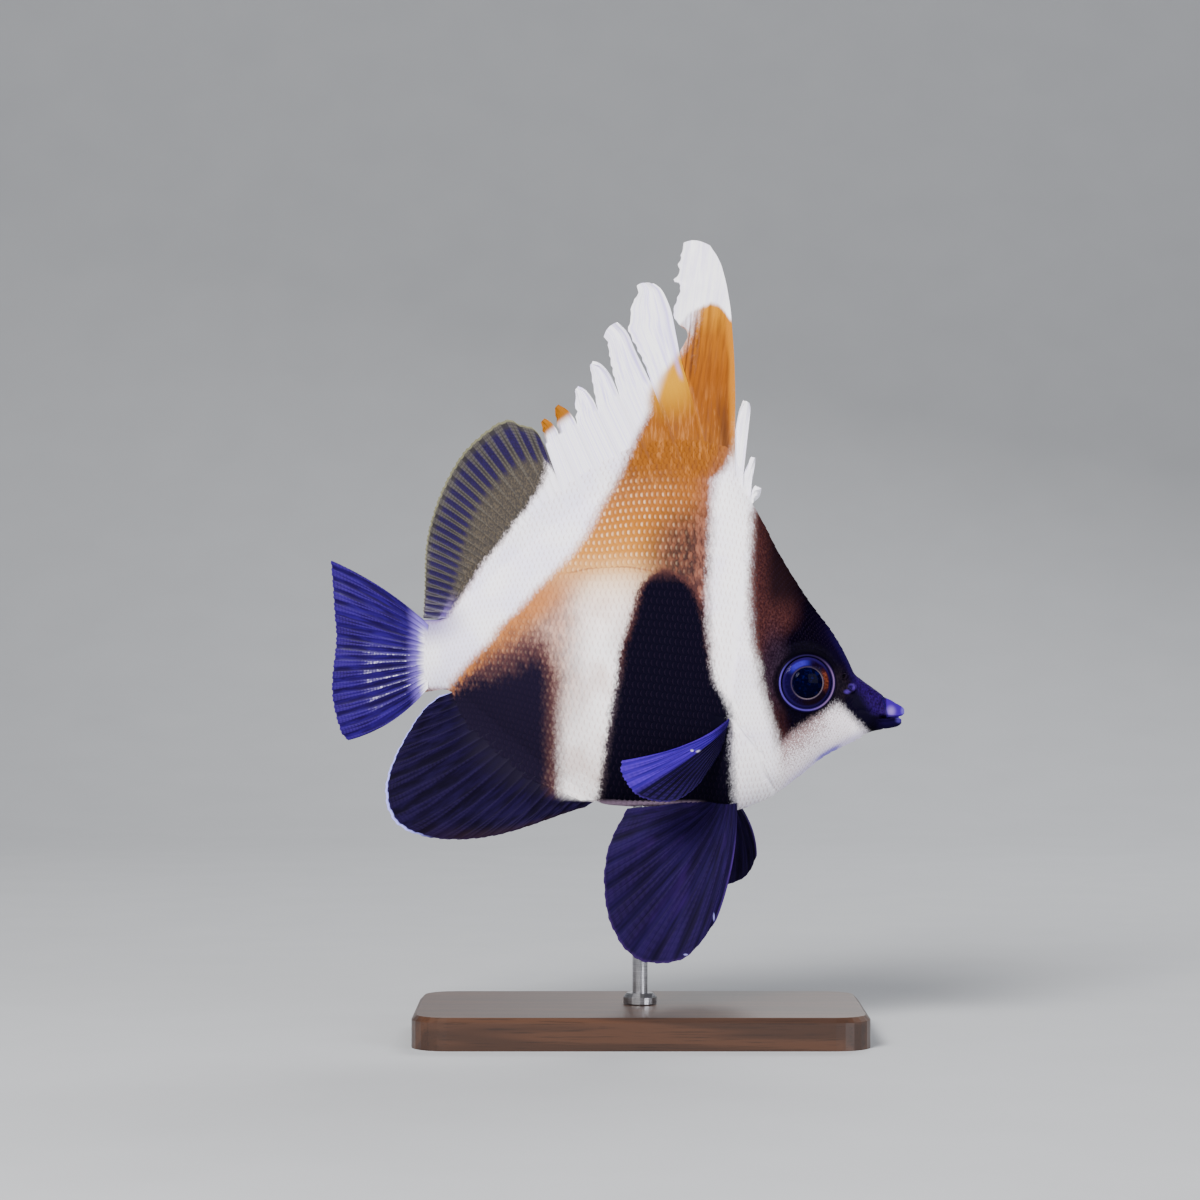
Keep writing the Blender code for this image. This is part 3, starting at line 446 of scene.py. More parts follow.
def cut_rows(cut, rows):
    """Rows up a cut through the body, as x and the share of the depth there."""
    ends = []
    for outline, start in ((belly, 60.0), (back, 130.0)):
        z = np.array([start])
        for _ in range(60):
            z = blend(z, outline(cut(z)), 0.5)
        ends.append(z[0])
    even = np.linspace(0, 1, rows + 1)
    z = blend(*ends, blend(even, (1 - np.cos(np.pi * even)) / 2, EDGE_CROWDING))
    x = cut(z)
    return x, (z - belly(x)) / (back(x) - belly(x))


def snout_end(z):
    x, middle, depth, reach = SNOUT_FOLD
    return x + depth * np.minimum(((z - middle) / reach) ** 2, 1)


def skin_columns():
    """The skin's columns from the tail to the snout, each as x, z and half thickness by row."""
    tail = cut_rows(lambda z: np.full_like(z, TAIL_END), SKIN_ROWS)
    gill = cut_rows(gill_line, SKIN_ROWS)
    snout = cut_rows(snout_end, SKIN_ROWS)
    columns = []
    for k in np.linspace(0, 1, TORSO_COLUMNS):
        x, share = blend(tail[0], gill[0], k), blend(tail[1], gill[1], k)
        z = blend(belly(x), back(x), share)
        columns.append((x, z, half_thickness(x, z) - COAT))
    x, z = columns[-1][:2]
    raised = gill_raise(x, z)
    lip = raised / GILL_STEP
    for number, (offset, share) in enumerate(GILL_LIP):
        lip_x = x + offset * lip + 0.02 * (number + 1)
        columns.append((lip_x, z, half_thickness(lip_x, z) - COAT + share * raised))
    for k in np.linspace(0, 1, HEAD_COLUMNS + 1)[1:]:
        head_x, share = blend(x + 0.15, snout[0], k), blend(gill[1], snout[1], k)
        head_z = blend(belly(head_x), back(head_x), share)
        half = half_thickness(head_x, head_z) - COAT + gill_raise(head_x, head_z)
        half = half + np.where(half > 1.2, relief(head_x, head_z), 0)
        end = np.clip((head_x - snout[0] + SNOUT_TUCK) / SNOUT_TUCK, 0, 1) ** 2
        middle = (belly(head_x) + back(head_x)) / 2
        columns.append((head_x, blend(head_z, middle, 0.12 * end), half * (1 - 0.2 * end)))
    return columns


def add_mirrored(shape, halves):
    """A closed form from the left half of each of its rings."""
    rings = [np.concatenate([half * (1, -1, 1), half[::-1]]) for half in halves]
    points = np.concatenate(rings)
    shape.add(points, outward(points, ring_faces(len(rings), len(rings[0]))))


def add_jaw(shape, sections):
    """A jaw lofted from half-round sections, its lip rolled out along the mouth."""
    sections = np.array(sections)
    ends = sections[0, 0], sections[-1, 0]
    outer, mouth, width = [smooth_curve(list(zip(sections[:, 0], sections[:, i]))) for i in (1, 2, 3)]
    share = (1 - np.cos(np.pi * np.linspace(0, 1, JAW_STEPS + 1))) / 2
    halves = []
    for k in np.sin(np.linspace(0, 1, JAW_COLUMNS) * math.pi / 2):
        x = blend(*ends, k)
        full = float(width(x))
        y = full * blend((1 - share**2.1) ** 0.6, 1, JAW_EDGE)
        y = y + LIP_ROLL * full * (bell((share - 0.13) / 0.1) - bell(share / 0.05))
        y = y - LIP_CREASE * bell((share - 0.38) / 0.12)
        halves.append(np.stack([np.full_like(y, x), y, blend(mouth(x), outer(x), share)], -1))
    add_mirrored(shape, halves)


def add_rings(shape, x, z, side, profile, size, segments):
    """Round forms that follow the flank: a profile of (radius, height) turned about one point."""
    turn = 2 * math.pi * np.arange(segments) / segments
    rings, faces = [], []
    for radius, height in np.array(profile) * size:
        around = x + radius * np.cos(turn), z + radius * np.sin(turn)
        rings.append(surface(*around, height - COAT, side))
    for i in range(len(rings) - 1):
        for k in range(segments):
            here, there, after = i * segments, (i + 1) * segments, (k + 1) % segments
            face = (here + after, there + after, there + k, here + k)
            faces.append(face if side > 0 else face[::-1])
    shape.add(np.concatenate(rings), faces)


def fine_profile(profile):
    """A profile's points with smooth ones between them, three for each."""
    line = path(profile, 8)
    return [tuple(line(share)) for share in np.linspace(0, 1, len(profile) * 3)]


def make_skin(material):
    shape = Shape()
    add_mirrored(shape, [np.stack([x, half, z], -1) for x, z, half in skin_columns()])
    for sections in (UPPER_JAW, LOWER_JAW, MOUTH):
        add_jaw(shape, sections)
    for side in SIDES.values():
        add_rings(shape, EYE_X, EYE_Z, side, fine_profile(ORBIT_RIM), 1.0, 144)
        for x, z, size in NOSTRILS:
            add_rings(shape, x, z, side, fine_profile(NOSTRIL_RIM), size, 32)
    return shape.make("skin", material)


def make_eye(name, side, material):
    """An eye turned about the flank's normal, its lens standing out of the iris."""
    along, up = tilt(half_thickness, EYE_X, EYE_Z, 0.5)
    turn = np.array(Vector((-along, side, -up)).to_track_quat("Z", "Y").to_matrix())
    centre = np.array([EYE_X, side * half_thickness(EYE_X, EYE_Z), EYE_Z])
    profile = fine_profile(EYE_DOME)[1:]
    angles = 2 * math.pi * np.arange(EYE_SEGMENTS) / EYE_SEGMENTS
    points = [[0, 0, EYE_DOME[0][1]], [0, 0, EYE_BACK]]
    for radius, height in profile:
        ring = [radius * np.cos(angles), radius * np.sin(angles), np.full_like(angles, height)]
        points += np.stack(ring, -1).tolist()
    last = 2 + (len(profile) - 1) * EYE_SEGMENTS
    faces = []
    for k in range(EYE_SEGMENTS):
        after = (k + 1) % EYE_SEGMENTS
        faces.append((0, 2 + k, 2 + after))
        faces.append((1, last + after, last + k))
        for row in range(len(profile) - 1):
            here = 2 + row * EYE_SEGMENTS
            faces.append((here + k, here + EYE_SEGMENTS + k, here + EYE_SEGMENTS + after, here + after))
    shape = Shape()
    shape.add(np.array(points) @ turn.T + centre, faces)
    return shape.make(name, material, 50)


def sheet_faces(columns, rows):
    """Faces of a thin closed sheet: two grids back to back, with a strip between their borders."""
    index = np.arange(columns * rows).reshape(columns, rows)
    top = np.stack([index[:-1, :-1], index[1:, :-1], index[1:, 1:], index[:-1, 1:]], -1).reshape(-1, 4)
    border = np.concatenate([index[:, 0], index[-1, 1:], index[-2::-1, -1], index[0, -2:0:-1]])
    after = np.roll(border, -1)
    rim = np.stack([border, border + index.size, after + index.size, after], -1)
    return np.concatenate([top, top[:, ::-1] + index.size, rim])


def add_sheet(shape, middle, half):
    """A thin closed solid on both sides of a grid of points."""
    normal = np.cross(np.gradient(middle, axis=0), np.gradient(middle, axis=1))
    normal /= np.maximum(np.linalg.norm(normal, axis=-1, keepdims=True), 1e-9)
    offset = normal * half[..., None]
    shape.add(np.stack([middle + offset, middle - offset]), sheet_faces(*half.shape).tolist())


def both_faces(across, share):
    """Two values for each point of a sheet's first face, and again for its second."""
    values = np.stack(np.broadcast_arrays(across, share), -1).reshape(-1, 2)
    return np.concatenate([values, values])


def run_length(spots):
    """Distance along each column of a grid of points."""
    steps = np.linalg.norm(np.diff(spots, axis=1), axis=-1)
    return np.concatenate([np.zeros((len(steps), 1)), np.cumsum(steps, axis=1)], axis=1)


def ray_height(across, share, rays):
    """How high the rays stand: each is one ridge that forks twice on its way to the edge."""
    place = across * (rays - 1)
    away = place - np.round(place)
    first = 0.15 * ease((share - 0.4) / 0.35)
    second = 0.07 * ease((share - 0.72) / 0.25)
    width = 0.15 - 0.05 * ease((share - 0.4) / 0.3) - 0.03 * ease((share - 0.75) / 0.2)
    height = np.zeros(np.broadcast(across, share).shape)
    for fork in (-1, 1):
        for twig in (-1, 1):
            height = np.maximum(height, bell((away - fork * first - twig * second) / width))
    return height


def fin_half(distance, share, ridge, seat):
    """Half the fin's thickness: sheath at the root, membrane, ridge, and a thin rim at the edge."""
    sheath = (seat - MEMBRANE) * np.exp(-distance / SHEATH_FADE)
    rise = ridge * ease(distance / 3) * (1 - 0.55 * share)
    rim = (MEMBRANE + rise - RIM) * ease((share - 0.9) / 0.1)
    return MEMBRANE + sheath + rise - rim


def bent_line(start, control, end, share):
    return blend(blend(start, control, share), blend(control, end, share), share)


def make_fan(name, root, edge, control, place, rays, rows, seat, material, ridge=RAY_RIDGE):
    """A fin of rays from a root line to an edge line, placed in space by place(x, z, share, across)."""
    across = np.linspace(0, 1, (rays - 1) * RAY_COLUMNS + 1)[:, None]
    share = np.linspace(0, 1, rows + 1)[None, :] ** ROW_CROWDING
    start, end = root(across[:, 0]), edge(across[:, 0])
    reach = np.linalg.norm(end - start, axis=-1, keepdims=True)
    notch = SCALLOP * (1 - ray_height(across, np.ones((1, 1)), rays)) / reach
    end = blend(end, start, notch)
    bend = control(across[:, 0], start, end)
    spot = bent_line(start[:, None], bend[:, None], end[:, None], share[..., None])
    half = fin_half(run_length(spot), share, ridge * ray_height(across, share, rays), seat)
    shape = Shape()
    add_sheet(shape, place(spot[..., 0], spot[..., 1], share, across), half)
    made = shape.make(name, material, 60)
    lay_map(made, "Ray", both_faces(across * (rays - 1), share))
    return made


def seat_on(outline, x, sink):
    """Points off the body's edge at x, sunk by that much along the edge's normal."""
    slope = (outline(x + 0.2) - outline(x - 0.2)) / 0.4
    length = np.hypot(slope, 1)
    return np.stack([x + slope / length * sink, outline(x) - sink / length], -1)


def rippled(height, waves, start=0.0, sway=0.0):
    """Places a flat fin in the middle plane, with ripples and a sway that grow towards its edge."""
    return lambda x, z, share, across: np.stack(
        [x, (sway + height * np.sin(across * waves + start)) * share**2, z], -1
    )


def straight(ends):
    """A line between two points."""
    return lambda across: blend(*np.array(ends), across[:, None])


def make_soft_dorsal(material):
    edge = path(SOFT_DORSAL_EDGE)

    def bend(across, start, end):
        angle = np.radians(10 + 66 * (1 - across**0.7) ** 1.2)
        reach = 0.5 * np.linalg.norm(end - start, axis=-1)
        curved = end + reach[:, None] * np.stack([np.cos(angle), -np.sin(angle)], -1)
        return blend(blend(start, end, 0.5), curved, ease(across * 6)[:, None])

    return make_fan(
        "soft_dorsal_rays", lambda a: seat_on(back, blend(*SOFT_DORSAL_ROOT, a), ROOT_SINK),
        lambda a: edge(a**0.72), bend, rippled(0.35, 22), SOFT_DORSAL_RAYS, 64, FIN_SEAT - 0.1, material,
    )


def make_anal(material):
    def bend(across, start, end):
        angle = np.radians(40 - 26 * across)
        reach = 0.4 * np.linalg.norm(end - start, axis=-1)
        return end + reach[:, None] * np.stack([np.cos(angle), np.sin(angle)], -1)

    return make_fan(
        "anal_fin_rays", lambda a: seat_on(belly, blend(*ANAL_ROOT, a), -ROOT_SINK), path(ANAL_EDGE), bend,
        rippled(0.3, 17, 1.0), ANAL_RAYS, 64, FIN_SEAT - 0.1, material, ridge=0.15,
    )


def make_tail_fin(material):
    top, bottom, edge = path(TAIL_FIN_TOP), path(TAIL_FIN_BOTTOM), path(TAIL_FIN_EDGE)

    def bow(line):
        return line(0.5) - blend(line(0), line(1), 0.5)

    def bend(across, start, end):
        sides = blend(bow(top), bow(bottom), across[:, None])
        return blend(start, end, 0.5) + 2 * sides * np.abs(1 - 2 * across[:, None])

    return make_fan(
        "tail_fin_rays", straight([top(0), bottom(0)]), edge, bend, rippled(0.25, 19, sway=TAIL_SWAY),
        TAIL_FIN_RAYS, 60, 2.0, material,
    )


def make_pectoral(name, side, material):
    root, bend = straight(PECTORAL_ROOT), straight(PECTORAL_BEND)

    def place(x, z, share, across):
        start = root(across[:, 0])[:, None]
        away = np.hypot(np.hypot(x - start[..., 0], z - start[..., 1]), PECTORAL_BASE) - PECTORAL_BASE
        cup = 1.6 * np.sin(np.pi * share) * (0.5 - across) * share
        seat = half_thickness(start[..., 0], start[..., 1]) + PECTORAL_SEAT - 0.35
        return np.stack([x, side * (seat + PECTORAL_FLARE * away + cup), z], -1)

    return make_fan(
        name, root, path(PECTORAL_EDGE), lambda a, *_: bend(a), place, PECTORAL_RAYS, 56,
        PECTORAL_SEAT, material,
    )


def make_pelvic(name, side, pose, material):
    splay, swing, size, shift = pose
    hinge_x, hinge_z = PELVIC_HINGE
    bend = straight(PELVIC_BEND)

    def place(x, z, share, across):
        ahead, down = (x - hinge_x) * size, (hinge_z - z) * size
        swung = ahead * math.cos(swing) + down * math.sin(swing)
        drop = down * math.cos(swing) - ahead * math.sin(swing)
        fall = drop * math.cos(splay) / math.cos(NEAR_SPLAY)
        ripple = (0.5 * np.sin(3.5 * math.pi * across) + 0.22 * np.sin(17 * across)) * share
        out = side * (PELVIC_SEAT + drop * math.sin(splay) + ripple)
        return np.stack([hinge_x + shift + swung, out, hinge_z - fall], -1)

    return make_fan(
        name, straight(PELVIC_ROOT), path(PELVIC_EDGE), lambda a, *_: bend(a), place, PELVIC_RAYS, 64,
        0.8, material, ridge=0.12,
    )


def lobe_places(index, across):
    """A lobe's points in the side view, and how far up its free part each row is."""
    root, front, rear = DORSAL_LOBES[index]
    next_root = DORSAL_LOBES[index + 1][0] if index + 1 < len(DORSAL_LOBES) else SPINY_END
    front_line, rear_line = path(front), path(rear[::-1])
    height = np.linalg.norm(front_line(1) - front_line(0))
    start = seat_on(back, blend(root, next_root, across[:, 0]), ROOT_SINK)[:, None]
    low = blend(front_line(0), rear_line(0), across)[:, None]
    band = blend(start, low, np.linspace(0, 1, BAND_ROWS + 1)[None, :-1, None] ** 1.3)
    share = np.linspace(0, 1, max(8, int(height / LOBE_ROW)) + 1)[None, :, None]
    free = blend(front_line(share[..., 0]), rear_line(share[..., 0]), across[..., None])
    tip = front_line(1) - front_line(0.85) + rear_line(1) - rear_line(0.85)
    arch = LOBE_ARCH * np.linalg.norm(front_line(1) - rear_line(1)) * tip / np.linalg.norm(tip)
    free = free + arch * (4 * across * (1 - across))[..., None] * share**6
    rag = np.sin(share * height * 2.1 + index) + np.sin(share * height * 4.7) + np.sin(share * height * 9.1)
    frayed = RAGGED * (index >= BANNER_LOBES - 1) * ease(share * 3) * ease((1 - share) * 8)
    free = free + frayed * rag * (across**4)[..., None] * np.array([1.0, 0.4])
    return np.concatenate([band, free], axis=1), np.concatenate([np.zeros(BAND_ROWS), share.ravel()])[None, :]


def lobe_folds(index, spots, across, along):
    """A lobe's fold and its fine ridges. The tall banner's run straight up it, the others' along the lobe."""
    if index == BANNER_LOBES - 1:
        high = spots[..., 1]
        off = spots[..., 0] - (FOLD_FOOT[0] + FOLD_SLOPE * (high - FOLD_FOOT[1]))
        bottom, top = FOLD_REACH
        return bell(off / 0.4) * ease((high - bottom) / 5) * ease((top - high) / 5), 0.05 * np.sin(off * 3.4)
    folds = 0.3 * bell((across - 0.62) / 0.03) * ease(along * 6) * ease((0.9 - along) * 4)
    return folds, 0.06 * np.sin(across * 40)


def make_lobes(name, first, last, material):
    """Lobes of the spiny dorsal fin, each a spine with its membrane, over the scaly band on the back."""
    shape, maps = Shape(), []
    across = np.linspace(0, 1, LOBE_COLUMNS + 1)[:, None]
    for index in range(first, last):
        spots, along = lobe_places(index, across)
        distance = run_length(spots)
        width = SPINE_WIDTH * np.clip(USUAL_LOBE / np.linalg.norm(spots[0] - spots[-1], axis=-1), 0.5, 2.0)
        spine = bell(across / width) * (1 - 0.6 * along)
        next_spine = bell((1 - across) / width) * (along == 0) * 0.98
        folds, fine = lobe_folds(index, spots, across, along)
        ridge = SPINE_RIDGE * np.maximum(spine, next_spine) + 0.1 * folds + fine * ease(distance / 6)
        half = fin_half(distance, 0.9 * ease((along - 0.93) / 0.07), ridge, FIN_SEAT - 0.1)
        sway = 0.5 * np.sin(index * 2.1) * along**2 + 0.35 * np.sin(7 * across + index) * along - 0.5 * folds
        add_sheet(shape, np.stack([spots[..., 0], sway * np.ones_like(distance), spots[..., 1]], -1), half)
        maps.append(both_faces(0.99 * across + index, along))
    made = shape.make(name, material, 60)
    lay_map(made, "Ray", np.concatenate(maps))
    return made


class Flank:
    """The side of the fish unrolled: x along it and the arc up each section, also up onto the fins."""

    def __init__(self):
        columns, steps, rows = UNROLLED_GRID
        self.xs = np.linspace(TAIL_END, 60.0, columns)
        share = np.linspace(0, 1, steps)
        low, high = belly(self.xs), back(self.xs)
        under, over = table(SHEATH_UNDER)(self.xs), table(SHEATH_OVER)(self.xs)
        z = blend((low - under)[:, None], (high + over)[:, None], share[None])
        y = self.half(self.xs[:, None], z)
        arc = run_length(np.stack([z, y], -1))

        def arc_at(height):
            return np.array([np.interp(*values) for values in zip(height, z, arc)])

        arc = arc - arc_at(blend(low, high, widest_share(self.xs)))[:, None]
        self.low, self.high = arc_at(low), arc_at(high)
        self.bottom, self.top = arc[:, 0], arc[:, -1]
        self.arcs = np.linspace(arc.min(), arc.max(), rows)
        self.heights = np.array([np.interp(self.arcs, aa, zz) for aa, zz in zip(arc, z)])

    def half(self, x, z):
        """Half the thickness of the body, or of the fin's sheath above and below it."""
        body = half_thickness(x, z)
        beyond = np.maximum(np.maximum(z - back(x), belly(x) - z), 0)
        sheath = MEMBRANE + 0.08 + (FIN_SEAT - MEMBRANE) * np.exp(-beyond / SHEATH_FADE)
        return np.where(beyond > 0, sheath, body)

    def height(self, x, arc):
        """z at a place of the unrolled flank."""
        i = np.clip((x - self.xs[0]) / (self.xs[1] - self.xs[0]), 0, len(self.xs) - 1.001)
        j = np.clip((arc - self.arcs[0]) / (self.arcs[1] - self.arcs[0]), 0, len(self.arcs) - 1.001)
        i0, j0 = i.astype(int), j.astype(int)
        i, j = i - i0, j - j0
        h = self.heights
        return blend(blend(h[i0, j0], h[i0 + 1, j0], i), blend(h[i0, j0 + 1], h[i0 + 1, j0 + 1], i), j)

    def edge(self, x, row):
        """The arc of the body's upper or lower edge at x."""
        return np.where(row > 0, np.interp(x, self.xs, self.high), -np.interp(x, self.xs, self.low))

    def spread(self, x, row, arch):
        """How wide the rows lie at x, as they close up where the body is less deep."""
        return 1 - arch + arch * self.edge(x, row) / self.edge(FULL_ROWS, row)

    def arc(self, x, row, arch):
        """The arc where a row runs at x."""
        return row * self.spread(x, row, arch)

    def row_of(self, x, arc, arch):
        """The row that runs through a place."""
        return arc / self.spread(x, arc, arch)

    def point(self, x, arc, lift, side):
        return surface(x, self.height(x, arc), lift, side, self.half, STEEPEST)


def scale_places(flank, pitch, rows, arch, start, end):
    """Staggered places of scales as x, arc, pitch and row spacing, row by row from low to high."""
    xs = np.linspace(start, end, 800)
    count = np.concatenate([[0], np.cumsum(np.diff(xs) / pitch(xs[1:]))])
    places = []
    for number, row in enumerate(rows):
        wanted = np.arange(0, count[-1], 1.0) + 0.5 * (number % 2)
        x = np.interp(wanted, count, xs)
        arc = flank.arc(x, row, arch)
        spacing = np.full_like(x, rows[min(number + 1, len(rows) - 1)] - rows[max(number - 1, 0)]) / 2
        spacing = spacing * np.abs(flank.arc(x, row + 0.5, arch) - flank.arc(x, row - 0.5, arch))
        low, high = np.interp(x, flank.xs, flank.bottom), np.interp(x, flank.xs, flank.top)
        keep = (arc > low + 0.6) & (arc < high - 0.6)
        places.append(np.stack([x, arc, pitch(x), spacing], -1)[keep])
    return np.concatenate(places)


def scale_template():
    """One scale: its grid of (along, across) with a round free edge, and its faces in two layers."""
    steps = np.linspace(0, 1, SCALE_GRID)
    along, across = np.meshgrid(steps, steps * 2 - 1, indexing="ij")
    reach = 1 - 0.4 * np.abs(across) ** 2.2
    taper = 0.86 + 0.14 * np.sin(np.pi * along)
    flat = np.stack([along * reach, across * taper], -1).reshape(-1, 2)
    return flat, sheet_faces(SCALE_GRID, SCALE_GRID)


def make_scales(name, side, flank, places, arch, draw, material):
    """A coat of overlapping scales on one flank, with the maps for its baking and its shading."""
    flat, quads = scale_template()
    x, arc, pitch, spacing = (places[:, i, None] for i in range(4))
    size = 1 + draw.uniform(-SCALE_VARIES, SCALE_VARIES, x.shape)
    length, width = pitch * SCALE_LENGTH * size, spacing * SCALE_WIDTH * size
    along, across = flat[None, :, 0], flat[None, :, 1]
    lean = draw.uniform(-SCALE_VARIES, SCALE_VARIES, x.shape)
    point_x = x + length * (0.5 - along) + lean * across * width / 2
    point_arc = flank.arc(point_x, flank.row_of(x, arc, arch), arch) + across * width / 2 + lean * along
    crown = 0.05 * (1 - across**2) * np.sin(np.pi * along)
    small = np.clip(pitch / 1.5, 0.45, 1.0)
    lift = (blend(SCALE_SINK, SCALE_LIFT, along) + crown) * small + draw.uniform(-0.015, 0.015, x.shape)
    z = flank.height(x, arc)
    near_snout = ease((x - HEAD_SCALES[1]) / 4.5 + 1)
    near_eye = ease((11.4 - np.hypot(x - EYE_X, z - EYE_Z)) / 1.8)
    lift = lift - SCALE_FADE * np.maximum(near_snout, near_eye)
    lift = lift + np.where(x > gill_line(z), gill_raise(point_x, flank.height(point_x, point_arc)), 0)
    thickness = SCALE_THICKNESS * small * (1.15 - 0.5 * along)
    lift = lift - SCALE_SEAT
    top = flank.point(point_x, point_arc, lift, side)
    under = flank.point(point_x, point_arc, lift - thickness, side)
    points = np.concatenate([top, under], axis=1)
    count = points.shape[1]
    faces = (quads[None] + count * np.arange(len(points))[:, None, None]).reshape(-1, 4)
    if side > 0:
        faces = faces[:, ::-1]
    mesh = bpy.data.meshes.new(name)
    mesh.vertices.add(points.shape[0] * count)
    mesh.vertices.foreach_set("co", (points * MM).ravel())
    mesh.loops.add(faces.size)
    mesh.loops.foreach_set("vertex_index", faces.ravel())
    mesh.polygons.add(len(faces))
    mesh.polygons.foreach_set("loop_start", np.arange(0, faces.size, 4))
    mesh.update(calc_edges=True)
    made = put_in_scene(name, mesh, material, 45)
    local = np.stack(np.broadcast_arrays(along, across / 2 + 0.5), -1)
    local = np.broadcast_to(np.concatenate([local, local], axis=1), (len(points), count, 2))
    unrolled_x = 0.02 + 0.45 * (x - TAIL_END) / UNROLLED + (0.5 if side > 0 else 0.0)
    unrolled_y = 0.03 + 0.94 * (arc - flank.arcs[0]) / (flank.arcs[-1] - flank.arcs[0])
    root = np.stack([unrolled_x, unrolled_y], -1)
    home = np.stack([x, z], -1) * MM
    maps = {"OFBake": root + (local - 0.5) * PATCH, "Scale": local, "Home": home + 0 * local}
    for word, values in maps.items():
        lay_map(made, word, values.reshape(-1, 2))
    return made


def body_scale_places(flank):
    """Places on the torso, the peduncle and the scaly roots of the fins, clear of the pectoral fin."""
    below = np.arange(-SCALE_ROW / 2, flank.bottom.min() - 1, -SCALE_ROW)[::-1]
    above = np.arange(SCALE_ROW / 2, flank.high.max() - 2, SCALE_ROW)
    sheath = np.arange(above[-1] + SHEATH_ROW, flank.top.max() + 1, SHEATH_ROW)
    rows = np.concatenate([below, above, sheath])
    places = scale_places(flank, table(SCALE_PITCH), rows, ROW_ARCH, TAIL_END + 0.8, 36.0)
    x, arc, pitch = places[:, 0], places[:, 1], places[:, 2]
    z = flank.height(x, arc)
    keep = x + pitch * SCALE_LENGTH / 2 < gill_line(z) + 0.5
    bare_x, bare_z, wide, high = PECTORAL_CLEARING
    keep &= ~((np.abs(x - bare_x) < wide) & (np.abs(z - bare_z) < high))
    places = places[keep]
    ahead = places[:, 0] > COAT_PARTING
    return {"front": places[ahead], "rear": places[~ahead]}


def head_scale_places(flank):
    """Smaller scales on the gill cover, cheek and nape, clear of the eye, the nostrils and the snout."""
    rows = np.arange(*HEAD_RANGE, HEAD_ROW)
    places = scale_places(flank, table(HEAD_PITCH), rows, HEAD_ARCH, *HEAD_SCALES)
    x, arc, pitch = places[:, 0], places[:, 1], places[:, 2]
    z = flank.height(x, arc)
    keep = x - pitch * SCALE_LENGTH / 2 > gill_line(z) + 0.1
    keep &= np.hypot(x - EYE_X, z - EYE_Z) > EYE_CLEARANCE
    for nostril_x, nostril_z, size in NOSTRILS:
        keep &= np.hypot(x - nostril_x, z - nostril_z) > NOSTRIL_CLEARANCE * size
    clear_brow = 0.3 + 1.5 * ease((x - 49.0) / 3.0)
    keep &= (arc > 0.3 - flank.edge(x, -1.0)) & (arc < flank.edge(x, 1.0) - clear_brow)
    return places[keep]


def rgb(red, green, blue):
    """A colour from its display values, 0 to 255."""
    values = [v / 255 for v in (red, green, blue)]
    return (*[v / 12.92 if v <= 0.04045 else ((v + 0.055) / 1.055) ** 2.4 for v in values], 1.0)


class Value:
    """A number, vector or colour from a shader node. Arithmetic adds nodes, and | takes the larger of two."""

    def __init__(self, nodes, socket):
        self.nodes = nodes
        self.socket = socket

    def __add__(self, other):
        return self.nodes.math("ADD", self, other)

    def __sub__(self, other):
        return self.nodes.math("SUBTRACT", self, other)

    def __rsub__(self, other):
        return self.nodes.math("SUBTRACT", other, self)

    def __mul__(self, other):
        return self.nodes.math("MULTIPLY", self, other)

    def __truediv__(self, other):
        return self.nodes.math("DIVIDE", self, other)

    def __or__(self, other):
        return self.nodes.math("MAXIMUM", self, other)

    def __abs__(self):
        return self.nodes.math("ABSOLUTE", self)

    def line(self, low, high):
        """0 up to low, 1 from high on and a straight line between, or falling where low is the larger."""
        return self.nodes.map(self, low, high, "LINEAR")

    def step(self, low, high):
        """The same as a smooth step."""
        return self.nodes.map(self, low, high, "SMOOTHSTEP")

    def between(self, start, full, fade, end):
        """Rises from start to full, and falls from fade to end."""
        return self.step(start, full) * self.step(end, fade)

    def tones(self, low, high, first, second):
        """One colour where the value is low and another where it is high."""
        return self.nodes.mix(self.step(low, high), first, second)

    def mix(self, share, colour):
        """This colour with a share of another laid over it."""
        return self.nodes.mix(share, self, colour)


